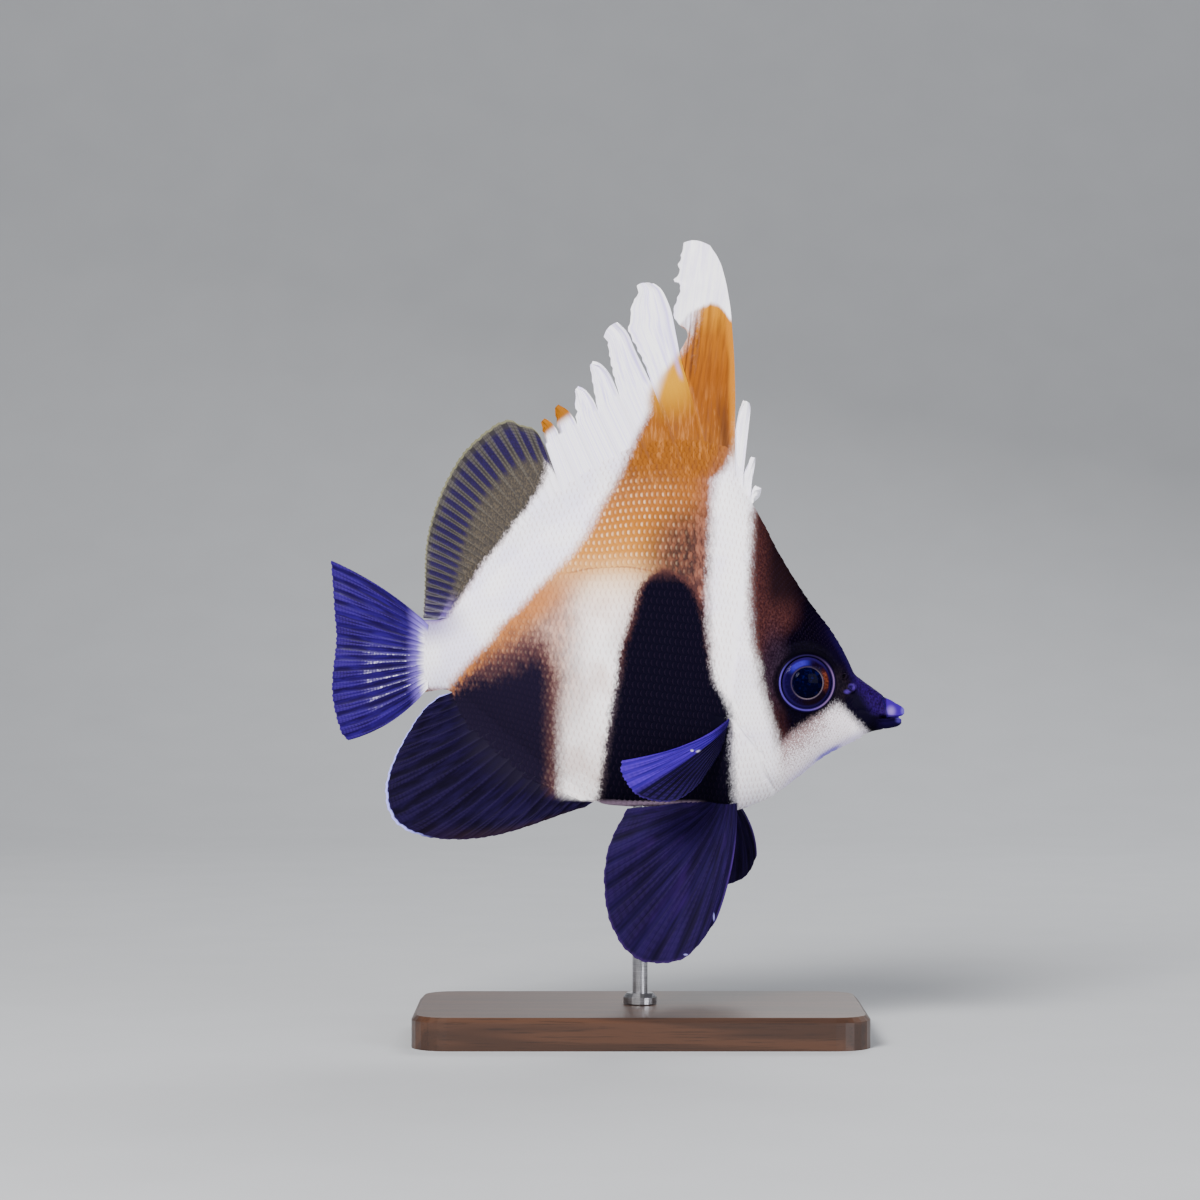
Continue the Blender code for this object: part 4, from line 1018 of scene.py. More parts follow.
class Nodes:
    """Builds the nodes of a shader or a node group."""

    def __init__(self, tree):
        self.tree = tree

    def node(self, kind, inputs, **settings):
        """A node. Each input is a value, a plain number or vector, or a colour of 0 to 255."""
        node = self.tree.nodes.new(kind)
        for key, value in settings.items():
            setattr(node, key, value)
        for key, value in inputs.items():
            if isinstance(value, Value):
                self.tree.links.new(value.socket, node.inputs[key])
            else:
                node.inputs[key].default_value = rgb(*value) if node.inputs[key].type == "RGBA" else value
        return node

    def put(self, kind, inputs, output=0, **settings):
        return Value(self, self.node(kind, inputs, **settings).outputs[output])

    def math(self, operation, a, b=0.0):
        return self.put("ShaderNodeMath", {0: a, 1: b}, operation=operation)

    def map(self, value, low, high, kind):
        return self.put(
            "ShaderNodeMapRange", {"Value": value, "From Min": low, "From Max": high}, interpolation_type=kind
        )

    def mix(self, share, a, b, kind="MIX"):
        return self.put("ShaderNodeMix", {0: share, 6: a, 7: b}, 2, data_type="RGBA", blend_type=kind)

    def noise(self, vector, scale, detail=2.0, roughness=0.5):
        return self.put(
            "ShaderNodeTexNoise", {"Vector": vector, "Scale": scale, "Detail": detail, "Roughness": roughness}
        )

    def stretch(self, vector, x, y, z):
        return self.put("ShaderNodeVectorMath", {0: vector, 1: (x, y, z)}, operation="MULTIPLY")

    def split(self, vector):
        return [Value(self, socket) for socket in self.node("ShaderNodeSeparateXYZ", {0: vector}).outputs]

    def join(self, x, y, z):
        return self.put("ShaderNodeCombineXYZ", {0: x, 1: y, 2: z})

    def length(self, x, z):
        return self.math("SQRT", x * x + z * z)

    def ellipse(self, x, z, centre_x, centre_z, wide, high, soft=0.3):
        """1 inside an ellipse of the side view, fading at its border."""
        reach = self.length((x - centre_x) / wide, (z - centre_z) / high)
        return reach.step(1 + soft, 1 - soft)

    def curve(self, value, points, places, heights):
        """A curve through the points, with the ranges of their places and heights."""
        low, high = places
        bottom, top = heights
        node = self.node("ShaderNodeFloatCurve", {"Value": value.line(low, high)})
        line = node.mapping.curves[0]
        node.mapping.extend = "HORIZONTAL"
        spots = [((a - low) / (high - low), (b - bottom) / (top - bottom)) for a, b in sorted(points)]
        while len(line.points) < len(spots):
            line.points.new(0.5, 0.5)
        for point, spot in zip(line.points, spots):
            point.location = spot
            point.handle_type = "AUTO_CLAMPED"
        node.mapping.update()
        return Value(self, node.outputs[0]) * (top - bottom) + bottom

    def x_at(self, z, points):
        """x of an edge given as (z, x), at a height."""
        return self.curve(z, points, ABOVE_Z, ALONG_X)

    def z_at(self, x, points):
        """Height of an edge given as (x, z), at an x."""
        return self.curve(x, points, ALONG_X, ABOVE_Z)

    def ramp(self, value, stops):
        """Colours along a value, from (place, colour) stops."""
        node = self.node("ShaderNodeValToRGB", {0: value})
        elements = node.color_ramp.elements
        while len(elements) < len(stops):
            elements.new(0.5)
        for element, (place, colour) in zip(elements, stops):
            element.position = place
            element.color = rgb(*colour)
        return Value(self, node.outputs[0])


# Markings: edges of the bands as (z, x), and heights along the body as (x, z)
WHITE_REAR = [
    (56.5, 24.2), (69.0, 23.2), (79.0, 23.0), (84.0, 21.7), (87.8, 19.5), (96.5, 18.0), (109.0, 17.0),
    (119.0, 17.5), (129.0, 18.0), (139.0, 18.8), (141.5, 21.3), (146.0, 23.8), (152.0, 24.5), (158.0, 25.0),
]
WHITE_FRONT = [
    (61.5, 35.4), (72.8, 34.2), (79.0, 32.5), (84.0, 30.9), (89.0, 29.6), (94.0, 28.9), (99.0, 28.0),
    (106.5, 27.5), (114.0, 27.4), (124.0, 28.0), (131.5, 28.8), (136.0, 32.0),
]
DOME_REAR = [
    (57.0, -10.4), (66.5, -9.0), (74.0, -8.0), (81.5, -6.8), (89.0, -5.5), (96.5, -4.5), (102.8, -2.5),
    (107.8, -1.1), (111.5, 0.1), (114.8, 2.2), (117.4, 5.6),
]
DOME_FRONT = [
    (57.0, 24.3), (62.8, 24.0), (75.3, 23.0), (84.5, 22.3), (85.8, 20.4), (87.8, 19.0), (91.5, 18.0),
    (97.8, 17.0), (104.0, 16.2), (109.0, 14.6), (113.2, 11.8), (116.0, 8.4), (117.4, 5.6),
]
DIAGONAL_REAR = [
    (102.8, -52.5), (104.0, -48.8), (107.0, -46.2), (111.5, -43.0), (115.3, -40.5), (119.0, -38.2),
    (122.8, -35.0), (127.8, -31.3), (132.8, -27.5), (136.5, -25.0), (140.3, -23.3), (144.0, -23.0),
    (147.3, -23.8),
]
DIAGONAL_FRONT = [
    (87.5, -48.3), (89.0, -47.0), (92.0, -44.5), (95.3, -41.3), (99.0, -37.5), (102.8, -35.0), (106.0, -31.3),
    (110.3, -27.5), (114.0, -23.8), (117.8, -20.0), (122.8, -15.5), (127.8, -12.5), (132.8, -10.0),
    (137.8, -7.0), (141.5, -5.0), (146.5, -3.0), (150.3, -1.3), (155.3, 1.3), (161.5, 2.6), (169.0, 8.4),
    (175.0, 12.0), (186.0, 15.0),
]
LATERAL = [
    (-50.0, 84.5), (-46.0, 89.0), (-40.0, 95.8), (-34.0, 101.6), (-28.0, 107.4), (-24.0, 112.0),
    (-20.0, 115.2), (-16.3, 116.2), (-4.6, 117.2), (2.8, 116.4), (12.0, 115.0), (22.0, 112.0),
]
BLOTCH_TOP = [
    (-50.0, 84.5), (-45.0, 88.5), (-37.5, 94.5), (-30.0, 99.0), (-26.0, 100.2), (-21.0, 98.5), (-18.0, 97.0),
]
BLOTCH_FRONT = -20.6
CHEEK_TOP = [
    (28.0, 70.0), (33.0, 72.0), (35.0, 74.0), (37.5, 76.4), (41.0, 78.6), (45.0, 81.0), (49.3, 83.2),
    (51.2, 81.8), (53.7, 79.2), (56.2, 77.0), (58.0, 75.0),
]
MASK_REAR = [
    (74.0, 37.0), (78.0, 35.0), (82.0, 33.6), (86.0, 32.4), (90.0, 30.8), (94.0, 31.0), (98.0, 33.0),
    (103.0, 37.5), (108.0, 39.0), (114.0, 40.0), (118.0, 43.0),
]
# The banner's white tip, as (x, z) along its lower edge
BANNER_SNOW = [
    (8.0, 175.0), (10.0, 177.6), (12.3, 180.4), (15.0, 181.9), (18.5, 183.0), (20.6, 181.6), (22.4, 178.8),
]
ABOVE_Z = (50.0, 200.0)
ALONG_X = (-80.0, 80.0)

WHITE = (244, 241, 250)
BLACK = (10, 8, 21)
EDGE_LILAC = (150, 150, 236)
# Colours by height over the lateral line, from 20 mm below it to 30 mm above
SIDE_REACH = (-20.0, 30.0)
SIDE_TONES = [
    (0.0, (253, 248, 250)), (0.2, (248, 232, 226)), (0.33, (228, 196, 164)), (0.4, (204, 152, 92)),
    (0.48, (178, 114, 36)), (0.62, (158, 94, 16)), (0.76, (140, 80, 20)), (0.9, (124, 70, 18)),
    (1.0, (124, 70, 14)),
]
# Colours of the banner by height
BANNER_REACH = (136.0, 186.0)
BANNER_TONES = [
    (0.0, (124, 70, 16)), (0.24, (128, 72, 8)), (0.4, (126, 66, 0)), (0.6, (132, 70, 0)),
    (0.78, (142, 80, 0)), (0.86, (166, 104, 0)), (1.0, (184, 122, 0)),
]
# Painted highlights on the lips and the nostrils' tubes: x, z, half width, half height, softness, share and
# colour
LIP_HIGHLIGHTS = [
    (62.6, 81.3, 0.9, 1.0, 0.95, 0.5, (150, 126, 196)), (66.0, 81.3, 0.7, 0.9, 0.8, 0.7, (120, 104, 200)),
    (64.8, 79.1, 0.9, 0.7, 0.7, 0.65, (84, 66, 160)),
]
NOSTRIL_HIGHLIGHTS = [
    (51.5, 86.2, 0.7, 0.45, 0.8, 0.7, (74, 46, 140)), (52.8, 87.4, 0.8, 0.7, 0.8, 0.7, (74, 46, 140)),
]


class SideView(Nodes):
    """The fish's side view: x and z in millimetres, and the noises that fray and mottle its markings."""

    def __init__(self, tree):
        super().__init__(tree)
        self.spot = self.stretch(self.put("NodeGroupInput", {}), 1000.0, 1000.0, 1000.0)
        self.x, _, self.z = self.split(self.spot)
        self.hatch = self.noise(self.stretch(self.spot, 1.0, 1.0, 0.35), 1.0, 3.0, 0.6)
        self.cloud = self.noise(self.spot, 0.09, 2.0, 0.5)
        self.grain = self.noise(self.stretch(self.spot, 1.0, 1.0, 0.6), 2.6, 2.0, 0.7)
        self.ragged_x = self.x + ((self.hatch - 0.5) * 2.0 + (self.grain - 0.5) * 2.6)
        self.ragged_z = self.z + ((self.hatch - 0.5) * 2.6 + (self.grain - 0.5) * 2.6)

    def edge(self, points):
        return self.x_at(self.z, points)

    def ridge(self, points):
        return self.z_at(self.x, points)

    def ahead(self, points, soft):
        """0 behind an edge and 1 ahead of it."""
        return (self.ragged_x - self.edge(points)).line(-soft, soft)

    def lay(self, base, mask, fringe, core):
        """A dark patch with a fringe of its own colour."""
        return base.mix(mask.step(0.0, 0.65), fringe).mix(mask.step(0.3, 1.0), core)

    # Lays painted highlights on a face, one ellipse for each
    def lights(self, face, spots):
        for *spot, share, colour in spots:
            face = face.mix(self.ellipse(self.x, self.z, *spot) * share, colour)
        return face


def paint_flank(n, over):
    """Tan and gold above the lateral line and pale below it, with dusk and haze round the dark patches."""
    x, z, hatch = n.x, n.z, n.hatch
    colour = n.ramp(over.line(*SIDE_REACH), SIDE_TONES)
    colour = colour.mix(n.cloud.step(0.45, 0.7) * 0.3, (158, 94, 42))
    colour = colour.mix(z.step(134.0, 143.0), n.ramp(z.line(*BANNER_REACH), BANNER_TONES))
    streaks = n.noise(n.stretch(n.spot, 1.0, 1.0, 0.12), 1.1, 3.0, 0.7)
    above = z.between(128.0, 142.0, 154.0, 166.0)
    colour = colour.mix(streaks.step(0.5, 0.68) * above * 0.3, (196, 134, 78))
    colour = colour.mix(streaks.step(0.5, 0.34) * above * 0.5, (104, 60, 34))
    dusk = (n.ragged_x + (z - 118.0) * -0.4).step(-4.0, 12.0) * z.between(92.0, 100.0, 114.0, 140.0)
    colour = colour.mix(dusk, hatch.tones(0.36, 0.68, (62, 37, 40), (112, 70, 64)))
    halo = n.ellipse(n.ragged_x, n.ragged_z, 12.0, 121.0, 9.5, 9.5, 0.65)
    colour = colour.mix(halo * 0.9, hatch.tones(0.36, 0.68, (46, 28, 28), (104, 62, 46)))
    haze = n.ragged_x.step(-9.0, -21.0) * n.ragged_z.step(66.0, 92.0) * z.step(119.0, 108.0)
    colour = colour.mix(haze * 0.8, hatch.tones(0.36, 0.66, (112, 66, 46), (164, 112, 84)))
    warm = (n.ragged_x - n.edge(DIAGONAL_FRONT)).step(15.0, 4.0) * z.step(122.0, 110.0)
    frayed = over + (hatch - 0.5) * 9.0
    colour = colour.mix(warm * 0.8, frayed.tones(-4.0, -15.0, (164, 96, 34), (92, 54, 42)))
    lateral = abs(over + 0.1).step(0.3, 0.08) * x.between(-21.0, -15.0, 1.0, 6.0)
    return colour.mix(lateral * 0.5, (120, 62, 34)), halo


def paint_patches(n, colour):
    """The dark blotch over the anal fin, the dark dome on the flank and the pale keel under it."""
    x, z = n.x, n.z
    below = n.ragged_z + (n.hatch - 0.5) * 7.0 - n.ridge(BLOTCH_TOP)
    below = (below / (x.step(-47.0, -32.0) * 0.72 + 0.28)).line(7.0, -10.0)
    blotch = (n.ragged_x - BLOTCH_FRONT).line(3.6, -4.6) * below
    colour = n.lay(colour, blotch, (88, 56, 54), (23, 18, 35))
    dome = n.ahead(DOME_REAR, 1.8) * (1.0 - n.ahead(DOME_FRONT, 1.7)) * n.ragged_z.line(119.8, 113.0)
    colour = n.lay(colour, dome, z.tones(84.0, 98.0, (56, 44, 52), (70, 40, 38)), BLACK)
    keel = z.step(59.4, 58.2) * x.between(-14.0, -9.0, 12.0, 17.0)
    return colour.mix(keel * 0.75, (188, 160, 186)), blotch, dome


def paint_bands(n, colour, dome):
    """The white bands before and behind the dome, with the dusty fin behind and a rosy fringe in front."""
    x, z = n.x, n.z
    diagonal = (n.ahead(DIAGONAL_REAR, 1.6) * (1.0 - n.ahead(DIAGONAL_FRONT, 2.6))).step(0.05, 0.85)
    above_anal = z.step(86.0, 87.8)
    diagonal = diagonal * above_anal
    stem = x.step(-46.5, -48.5) * z.step(104.5, 102.5)
    behind = (1.0 - n.ahead(DIAGONAL_REAR, 1.6)) * (1.0 - stem)
    dust = n.grain.tones(0.4, 0.64, (50, 46, 44), (74, 66, 56))
    colour = colour.mix(behind.step(0.1, 0.9) * z.step(98.0, 104.0), dust)
    colour = colour.mix(diagonal | stem * above_anal, n.cloud.tones(0.35, 0.7, WHITE, (232, 228, 250)))
    colour = colour.mix(n.ellipse(x, z, -53.0, 104.5, 7.5, 5.5, 0.7) * 0.75, (84, 62, 140))
    beside = (n.edge(WHITE_REAR) - n.ragged_x).step(6.5, 0.5) * (1.0 - dome.step(0.0, 0.3))
    beside = beside * z.between(90.0, 100.0, 136.0, 158.0)
    colour = colour.mix(beside * 0.6, n.hatch.tones(0.36, 0.66, (92, 54, 48), (146, 94, 78)))
    head = n.ahead(WHITE_FRONT, 2.4).step(0.0, 0.9)
    front = n.ahead(WHITE_REAR, 2.0).step(0.0, 1.0) * (1.0 - head)
    colour = colour.mix(front, n.cloud.tones(0.4, 0.75, (252, 248, 254), (236, 230, 248)))
    return colour, diagonal, head, front


def paint_mask(n):
    """The brown nape, the dark mask, the painted sheen along the brow, the violet snout and the lips, with a
    line of painted shade in the fold at the jaws and painted highlights on the lips and nostrils.
    """
    x, z, grain = n.x, n.z, n.grain
    from_band = x - n.edge(WHITE_FRONT)
    brown = grain.tones(0.35, 0.7, (40, 19, 22), (72, 40, 38))
    brown = brown.mix(z.step(104.0, 112.0), n.mix(from_band.step(6.5, 1.5), (26, 14, 18), brown))
    mask = (n.ragged_x - n.edge(MASK_REAR)).line(-3.5, 3.5).step(0.0, 1.0)
    face = brown.mix(mask * z.step(124.0, 112.0), grain.tones(0.45, 0.7, (4, 2, 10), (10, 6, 22)))
    grey = n.ellipse(x, z, 33.0, 92.5, 3.2, 9.0, 0.6) * from_band.step(0.0, 1.6)
    face = face.mix(grey * 0.75, grain.tones(0.4, 0.65, (24, 14, 27), (46, 33, 47)))
    from_edge = n.ridge(BACK_POINTS) - z
    # painted sheen: dark violet, then brighter violet, along the edge of the brow
    face = face.mix(from_edge.step(9.0, 2.0) * x.between(41.0, 48.0, 53.5, 56.0) * 0.7, (11, 4, 30))
    face = face.mix(from_edge.step(4.2, 1.0) * x.between(45.0, 50.0, 53.5, 55.5) * 0.6, (26, 10, 70))
    muzzle = n.ellipse(x, z, 49.6, 87.4, 3.0, 4.6, 0.5)
    face = face.mix(muzzle * 0.8, grain.tones(0.4, 0.65, (12, 8, 18), (28, 20, 28)))
    face = face.mix(n.ellipse(x, z, 54.6, 81.6, 4.6, 4.4, 0.35) * x.step(50.0, 51.6), (9, 6, 22))
    snout = (x + (z - 84.0) * 0.6).step(54.2, 57.6) * z.step(79.6, 81.2) * x.step(50.5, 54.0)
    face = face.mix(snout, grain.tones(0.3, 0.7, (15, 4, 34), (34, 10, 78)))
    face = face.mix(x.step(61.2, 61.7) * z.step(79.4, 80.0), (50, 15, 122))
    face = face.mix(x.step(58.0, 61.5) * z.step(79.6, 79.0), (16, 6, 44))
    # painted highlights on the lips
    face = n.lights(face, LIP_HIGHLIGHTS)
    # a thin line of painted shade in the fold at the jaws
    crease_shade = abs(x - ((z - 82.0) * -0.25 + 61.2)).step(0.32, 0.08)
    face = face.mix(crease_shade * z.step(79.8, 80.4) * 0.6, (12, 8, 60))
    # painted highlights on the nostrils' tubes
    return n.lights(face, NOSTRIL_HIGHLIGHTS)


def paint_cheek(n, face):
    """The white cheek with brown freckles, painted lilac shade along the throat's lower edge and violet on
    the chin.
    """
    x, z = n.x, n.z
    under = n.ridge(CHEEK_TOP) - (z + (n.grain - 0.5) * 3.6)
    speckled = under.step(12.0, 0.0) * x.between(32.5, 36.0, 40.0, 53.0)
    fleck = n.noise(n.stretch(n.spot, 1.0, 1.0, 0.7), 4.6, 2.0, 0.6)
    white = n.mix((fleck + speckled * 0.27).step(0.58, 0.72) * 0.78, (244, 236, 244), (116, 62, 52))
    from_chin = z - n.ridge(BELLY_POINTS)
    # painted shade: lilac within 3 mm of the lower edge
    white = white.mix(from_chin.step(3.0, 0.0) * x.between(30.0, 40.0, 52.0, 58.0) * 0.6, (196, 184, 238))
    white = white.mix(from_chin.step(1.7, 0.5) * x.between(42.5, 45.5, 48.5, 51.0) * 0.8, (98, 80, 200))
    cheek = under.step(-1.4, 2.8)
    return face.mix(cheek, white), cheek


def paint_orbit(n, face):
    """The violet ring on the orbit's rim, with painted shade on its upper left and a painted highlight along
    its crest that fades towards the top, and a painted shadow round it on the upper left.
    """
    dx, dz = n.x - EYE_X, n.z - EYE_Z
    rim = n.length(dx, dz)
    turned = dz - dx
    # painted shade: the ring is darker on its upper left
    face = face.mix(rim.between(5.8, 6.2, 7.15, 7.5), turned.tones(6.0, -4.0, (4, 2, 11), (19, 9, 48)))
    # painted highlight along the rim's crest, faint at the top and pinker to the right
    crest_highlight = rim.between(6.52, 6.74, 6.92, 7.12) * (dz.step(6.2, 1.0) * 0.6 + 0.08)
    face = face.mix(crest_highlight, dx.tones(0.0, 5.0, (84, 66, 158), (116, 90, 132)))
    # painted shadow round the orbit on its upper left
    return face.mix(rim.between(7.1, 7.5, 7.8, 9.0) * turned.step(-6.0, 4.0) * 0.85, (3, 2, 8))


def paint_markings():
    """The bands, patches and mask as one node group over the side view, for skin, scales and fins."""
    tree = bpy.data.node_groups.new("markings", "ShaderNodeTree")
    tree.interface.new_socket("Vector", in_out="INPUT", socket_type="NodeSocketVector")
    kinds = {"Color": "NodeSocketColor", "Spots": "NodeSocketFloat", "Dark": "NodeSocketFloat"}
    for word, kind in kinds.items():
        tree.interface.new_socket(word, in_out="OUTPUT", socket_type=kind)
    n = SideView(tree)
    over = n.z - n.ridge(LATERAL)
    colour, halo = paint_flank(n, over)
    colour, blotch, dome = paint_patches(n, colour)
    colour, diagonal, head, front = paint_bands(n, colour, dome)
    face, cheek = paint_cheek(n, paint_mask(n))
    colour = colour.mix(head, paint_orbit(n, face))
    spots = over.between(-3.0, 4.0, 16.0, 27.0) * n.x.between(-27.0, -14.0, 6.0, 17.5)
    spots = spots * (1.0 - (dome.step(0.0, 0.3) | (diagonal | front))) * (1.0 - halo * 0.75)
    spots = spots | blotch.between(0.0, 0.3, 0.5, 1.0) * 0.15
    n.node("NodeGroupOutput", {0: colour, 1: spots, 2: blotch | dome | head * (1.0 - cheek)})
    return tree


class Finish(Nodes):
    """A material, whose steady values sit on its shader."""

    def __init__(self, name, roughness, coat=0.0, coat_roughness=0.08, metallic=0.0, specular=0.15):
        self.material = bpy.data.materials.new(name)
        self.material.use_nodes = True
        super().__init__(self.material.node_tree)
        self.shader = self.tree.nodes["Principled BSDF"]
        for word, value in (
            ("Roughness", roughness), ("Coat Weight", coat), ("Coat Roughness", coat_roughness),
            ("Metallic", metallic), ("Specular IOR Level", specular),
        ):
            self.shader.inputs[word].default_value = value

    def place(self):
        return self.put("ShaderNodeTexCoord", {}, "Object")

    def side_view(self):
        """x and z in millimetres."""
        x, _, z = self.split(self.stretch(self.place(), 1000.0, 1000.0, 1000.0))
        return x, z

    def uv(self, name):
        return self.put("ShaderNodeUVMap", {}, uv_map=name)

    def marked(self, markings, place=None):
        """The markings' colour, spots and darkness at each place."""
        node = self.node("ShaderNodeGroup", {}, node_tree=markings)
        self.tree.links.new((place or self.place()).socket, node.inputs[0])
        return [Value(self, socket) for socket in node.outputs]

    def set(self, word, value):
        self.tree.links.new(value.socket, self.shader.inputs[word])

    def wear(self, colour, height=None, distance=0.0001, strength=0.6):
        """The material, with its colour and bump."""
        self.set("Base Color", colour)
        if height:
            bump = {"Height": height, "Distance": distance, "Strength": strength}
            self.set("Normal", self.put("ShaderNodeBump", bump))
        return self.material


class FinFinish(Finish):
    """A finned membrane, with each place's ray number and share of the way to the edge."""

    def __init__(self, *values, **words):
        super().__init__(*values, **words)
        self.ray_map = self.uv("Ray")
        self.number, self.share, _ = self.split(self.ray_map)

    def rays(self):
        """Distance from the nearest ray, the rays with their two forks, and the same with joints across."""
        away = self.math("PINGPONG", self.number, 0.5)
        first = self.share.step(0.4, 0.75) * 0.15
        second = self.share.step(0.72, 0.97) * 0.07
        line = abs(abs(away - first) - second).step(0.11, 0.03)
        joints = self.math("SINE", self.share * 190.0).step(-0.6, 0.2)
        return away, line, line * (joints * 0.5 + 0.5)


def skin_material(markings):
    n = Finish("wet_skin", 0.4)
    colour, _, dark = n.marked(markings)
    n.set("Specular IOR Level", 0.12 - dark * 0.11)
    return n.wear(colour, n.noise(n.place(), 2600.0, 3.0), 0.00008, 0.4)


def scale_material(name, markings, from_middle):
    """Scales take part of their colour from their middle, so that bands end in soft steps of scales."""
    n = Finish(name, 0.4)
    home_x, home_z, _ = n.split(n.uv("Home"))
    home = n.join(home_x, 0.0, home_z)
    place = n.put("ShaderNodeMix", {0: from_middle, 4: n.place(), 5: home}, 1, data_type="VECTOR")
    colour, spots, dark = n.marked(markings, place)
    uv = n.uv("Scale")
    along, across, _ = n.split(uv)
    side = abs(across - 0.5)
    rounded = along + side * side * 0.9
    pale = abs(rounded - 0.8).step(0.17, 0.03) * side.step(0.27, 0.05) * spots
    unlike = n.noise(home, 700.0, 1.0).step(0.3, 0.7) * 0.36 + 0.16
    colour = colour.mix(pale * unlike, (248, 218, 180))
    free_edge = rounded.step(0.8, 1.0)
    light = 1.0 - dark.step(0.2, 0.8)
    colour = n.mix(free_edge * light * 0.5, colour, (172, 122, 112), "MULTIPLY")
    colour = colour.mix(free_edge * dark * 0.3, (44, 32, 50))
    n.set("Specular IOR Level", 0.12 - dark * 0.12)
    return n.wear(colour, n.noise(n.stretch(uv, 3.0, 26.0, 1.0), 1.0, 2.0), 0.00005, 0.5)


def banner_material(markings):
    """The tall banner: orange over the back, yellow higher up and white at its tip, with painted shadows
    behind the spines and painted shade along its folds.
    """
    n = FinFinish("banner_membrane", 0.45, 0.05, 0.25)
    x, z = n.side_view()
    across = n.math("FRACT", n.number)
    fold_x, fold_z = FOLD_FOOT
    off = x - ((z - fold_z) * FOLD_SLOPE + (fold_x - 0.4))
    streak = n.noise(n.join(off * 1.1, z * 0.08, 0.0), 1.0, 3.0, 0.6)
    body = n.marked(markings)[0].mix(streak.step(0.6, 0.35) * 0.5, (92, 42, 0))
    # painted shadow behind each spine, low on the banner
    body = body.mix(across.between(0.1, 0.22, 0.24, 0.5) * z.step(165.0, 150.0) * 0.75, (74, 38, 12))
    body = body.mix(across.step(0.16, 0.06) * z.step(142.0, 154.0) * 0.8, (172, 106, 0))
    body = body.mix(across.step(0.86, 0.98) * 0.5, (180, 106, 0))
    # painted shade along the banner's folds
    folds = abs(off).step(0.45, 0.1) | abs(off + 1.4).step(0.3, 0.1)
    body = body.mix(folds * z.between(161.0, 167.0, 176.0, 183.0) * 0.7, (70, 30, 4))
    snow = streak.tones(0.35, 0.7, (252, 250, 254), (230, 224, 246))
    over_snow = z - n.z_at(x, BANNER_SNOW) + (streak - 0.5) * 1.4
    body = body.mix(over_snow.step(-0.7, 0.9), snow)
    body = body.mix(n.number.step(2.999, 2.998), snow)
    return n.wear(body, streak, 0.00015, 0.5)


def lobe_material(markings):
    """The shorter lobes: white with lavender streaks of painted shade and painted lavender shade beside each
    spine, yellow or orange at their feet and on the last tips, and a painted shadow in the notches of the
    last two lobes.
    """
    n = FinFinish("lobe_membrane", 0.45, 0.05, 0.25)
    x, z = n.side_view()
    across = n.math("FRACT", n.number)
    streak = n.noise(n.stretch(n.ray_map, 14.0, 1.4, 1.0), 1.0, 3.0, 0.6)
    colour = n.marked(markings)[0].mix(n.ellipse(x, z, 7.6, 165.0, 6.5, 7.5, 0.8) * 0.9, (188, 132, 0))
    foot = (x - n.x_at(z, DIAGONAL_FRONT)).step(-1.6, 1.2)
    white = 1.0 - foot * (z + across * 14.0).step(178.0, 171.0)
    # white with lavender streaks of painted shade
    snow = streak.tones(0.4, 0.72, (251, 249, 254), (208, 198, 246))
    colour = colour.mix(white * (z - n.z_at(x, BACK_POINTS)).step(4.0, 8.0), snow)
    last = n.number.step(7.999, 8.001)
    # painted shadow in the notches of the last two lobes
    notch = across.step(0.7, 0.95) * n.share.between(0.0, 0.1, 0.2, 0.55)
    colour = colour.mix(last * notch * 0.8, (36, 24, 50))
    # painted lavender shade beside each spine near its foot
    shadow = across.step(0.26, 0.12) * across.step(0.04, 0.12) * n.share.step(0.0, 0.15)
    colour = colour.mix(shadow * 0.5, (164, 146, 226))
    return n.wear(colour.mix(last * n.share.step(0.2, 0.6), (140, 84, 0)), streak, 0.00015, 0.5)


def soft_dorsal_material(markings):
    """Grey-brown dust inside, then blue-violet spots between pale rays, and a pale rim."""
    n = FinFinish("soft_dorsal_membrane", 0.4, 0.05, 0.2)
    share = n.share
    away, line, beads = n.rays()
    grain = n.noise(n.place(), 3000.0, 2.0, 0.6)
    inner = n.number.step(8.0, 24.0) * -0.26 + 0.56
    dusty = n.mix(n.number.step(10.0, 21.0) * 0.6, (46, 42, 40), (26, 20, 50))
    dusty = dusty.mix(share.step(inner + 0.05, inner + 0.3), (30, 27, 34))
    outer = (share + (grain - 0.5) * 0.3).step(inner - 0.06, inner + 0.14)
    colour = n.marked(markings)[0].mix(outer * 0.85, dusty)
    taper = share.step(inner, inner + 0.3) * -0.13 + 0.3
    spot = away.step(taper - 0.06, taper + 0.06) * share.step(inner, inner + 0.1) * share.step(0.96, 0.9)
    colour = colour.mix(spot * 0.85, grain.tones(0.3, 0.7, (14, 4, 40), (26, 9, 66)))
    colour = colour.mix(beads * (share.step(0.3, 0.6) * 0.2 + 0.15), (96, 92, 84))
    colour = colour.mix(share.step(0.972, 0.988) * 0.8, (110, 108, 84))
    return n.wear(colour, grain + line, 0.00008, 0.5)


def dark_fin(name, roughness, coat, tones, ray_share, rim, rim_colour):
    """A blue-violet fin: its membrane between the first two tones, its rays in the third, and its rim."""
    n = FinFinish(name, roughness, coat, 0.2, specular=0.04)
    away, line, beads = n.rays()
    streak = n.noise(n.stretch(n.ray_map, 1.6, 3.0, 1.0), 1.0, 3.0, 0.6)
    colour = streak.tones(0.35, 0.7, *tones[:2]).mix(beads * ray_share, tones[2])
    return n, colour.mix(n.share.step(rim, rim + 0.02) * 0.8, rim_colour), (away, line, beads, streak)


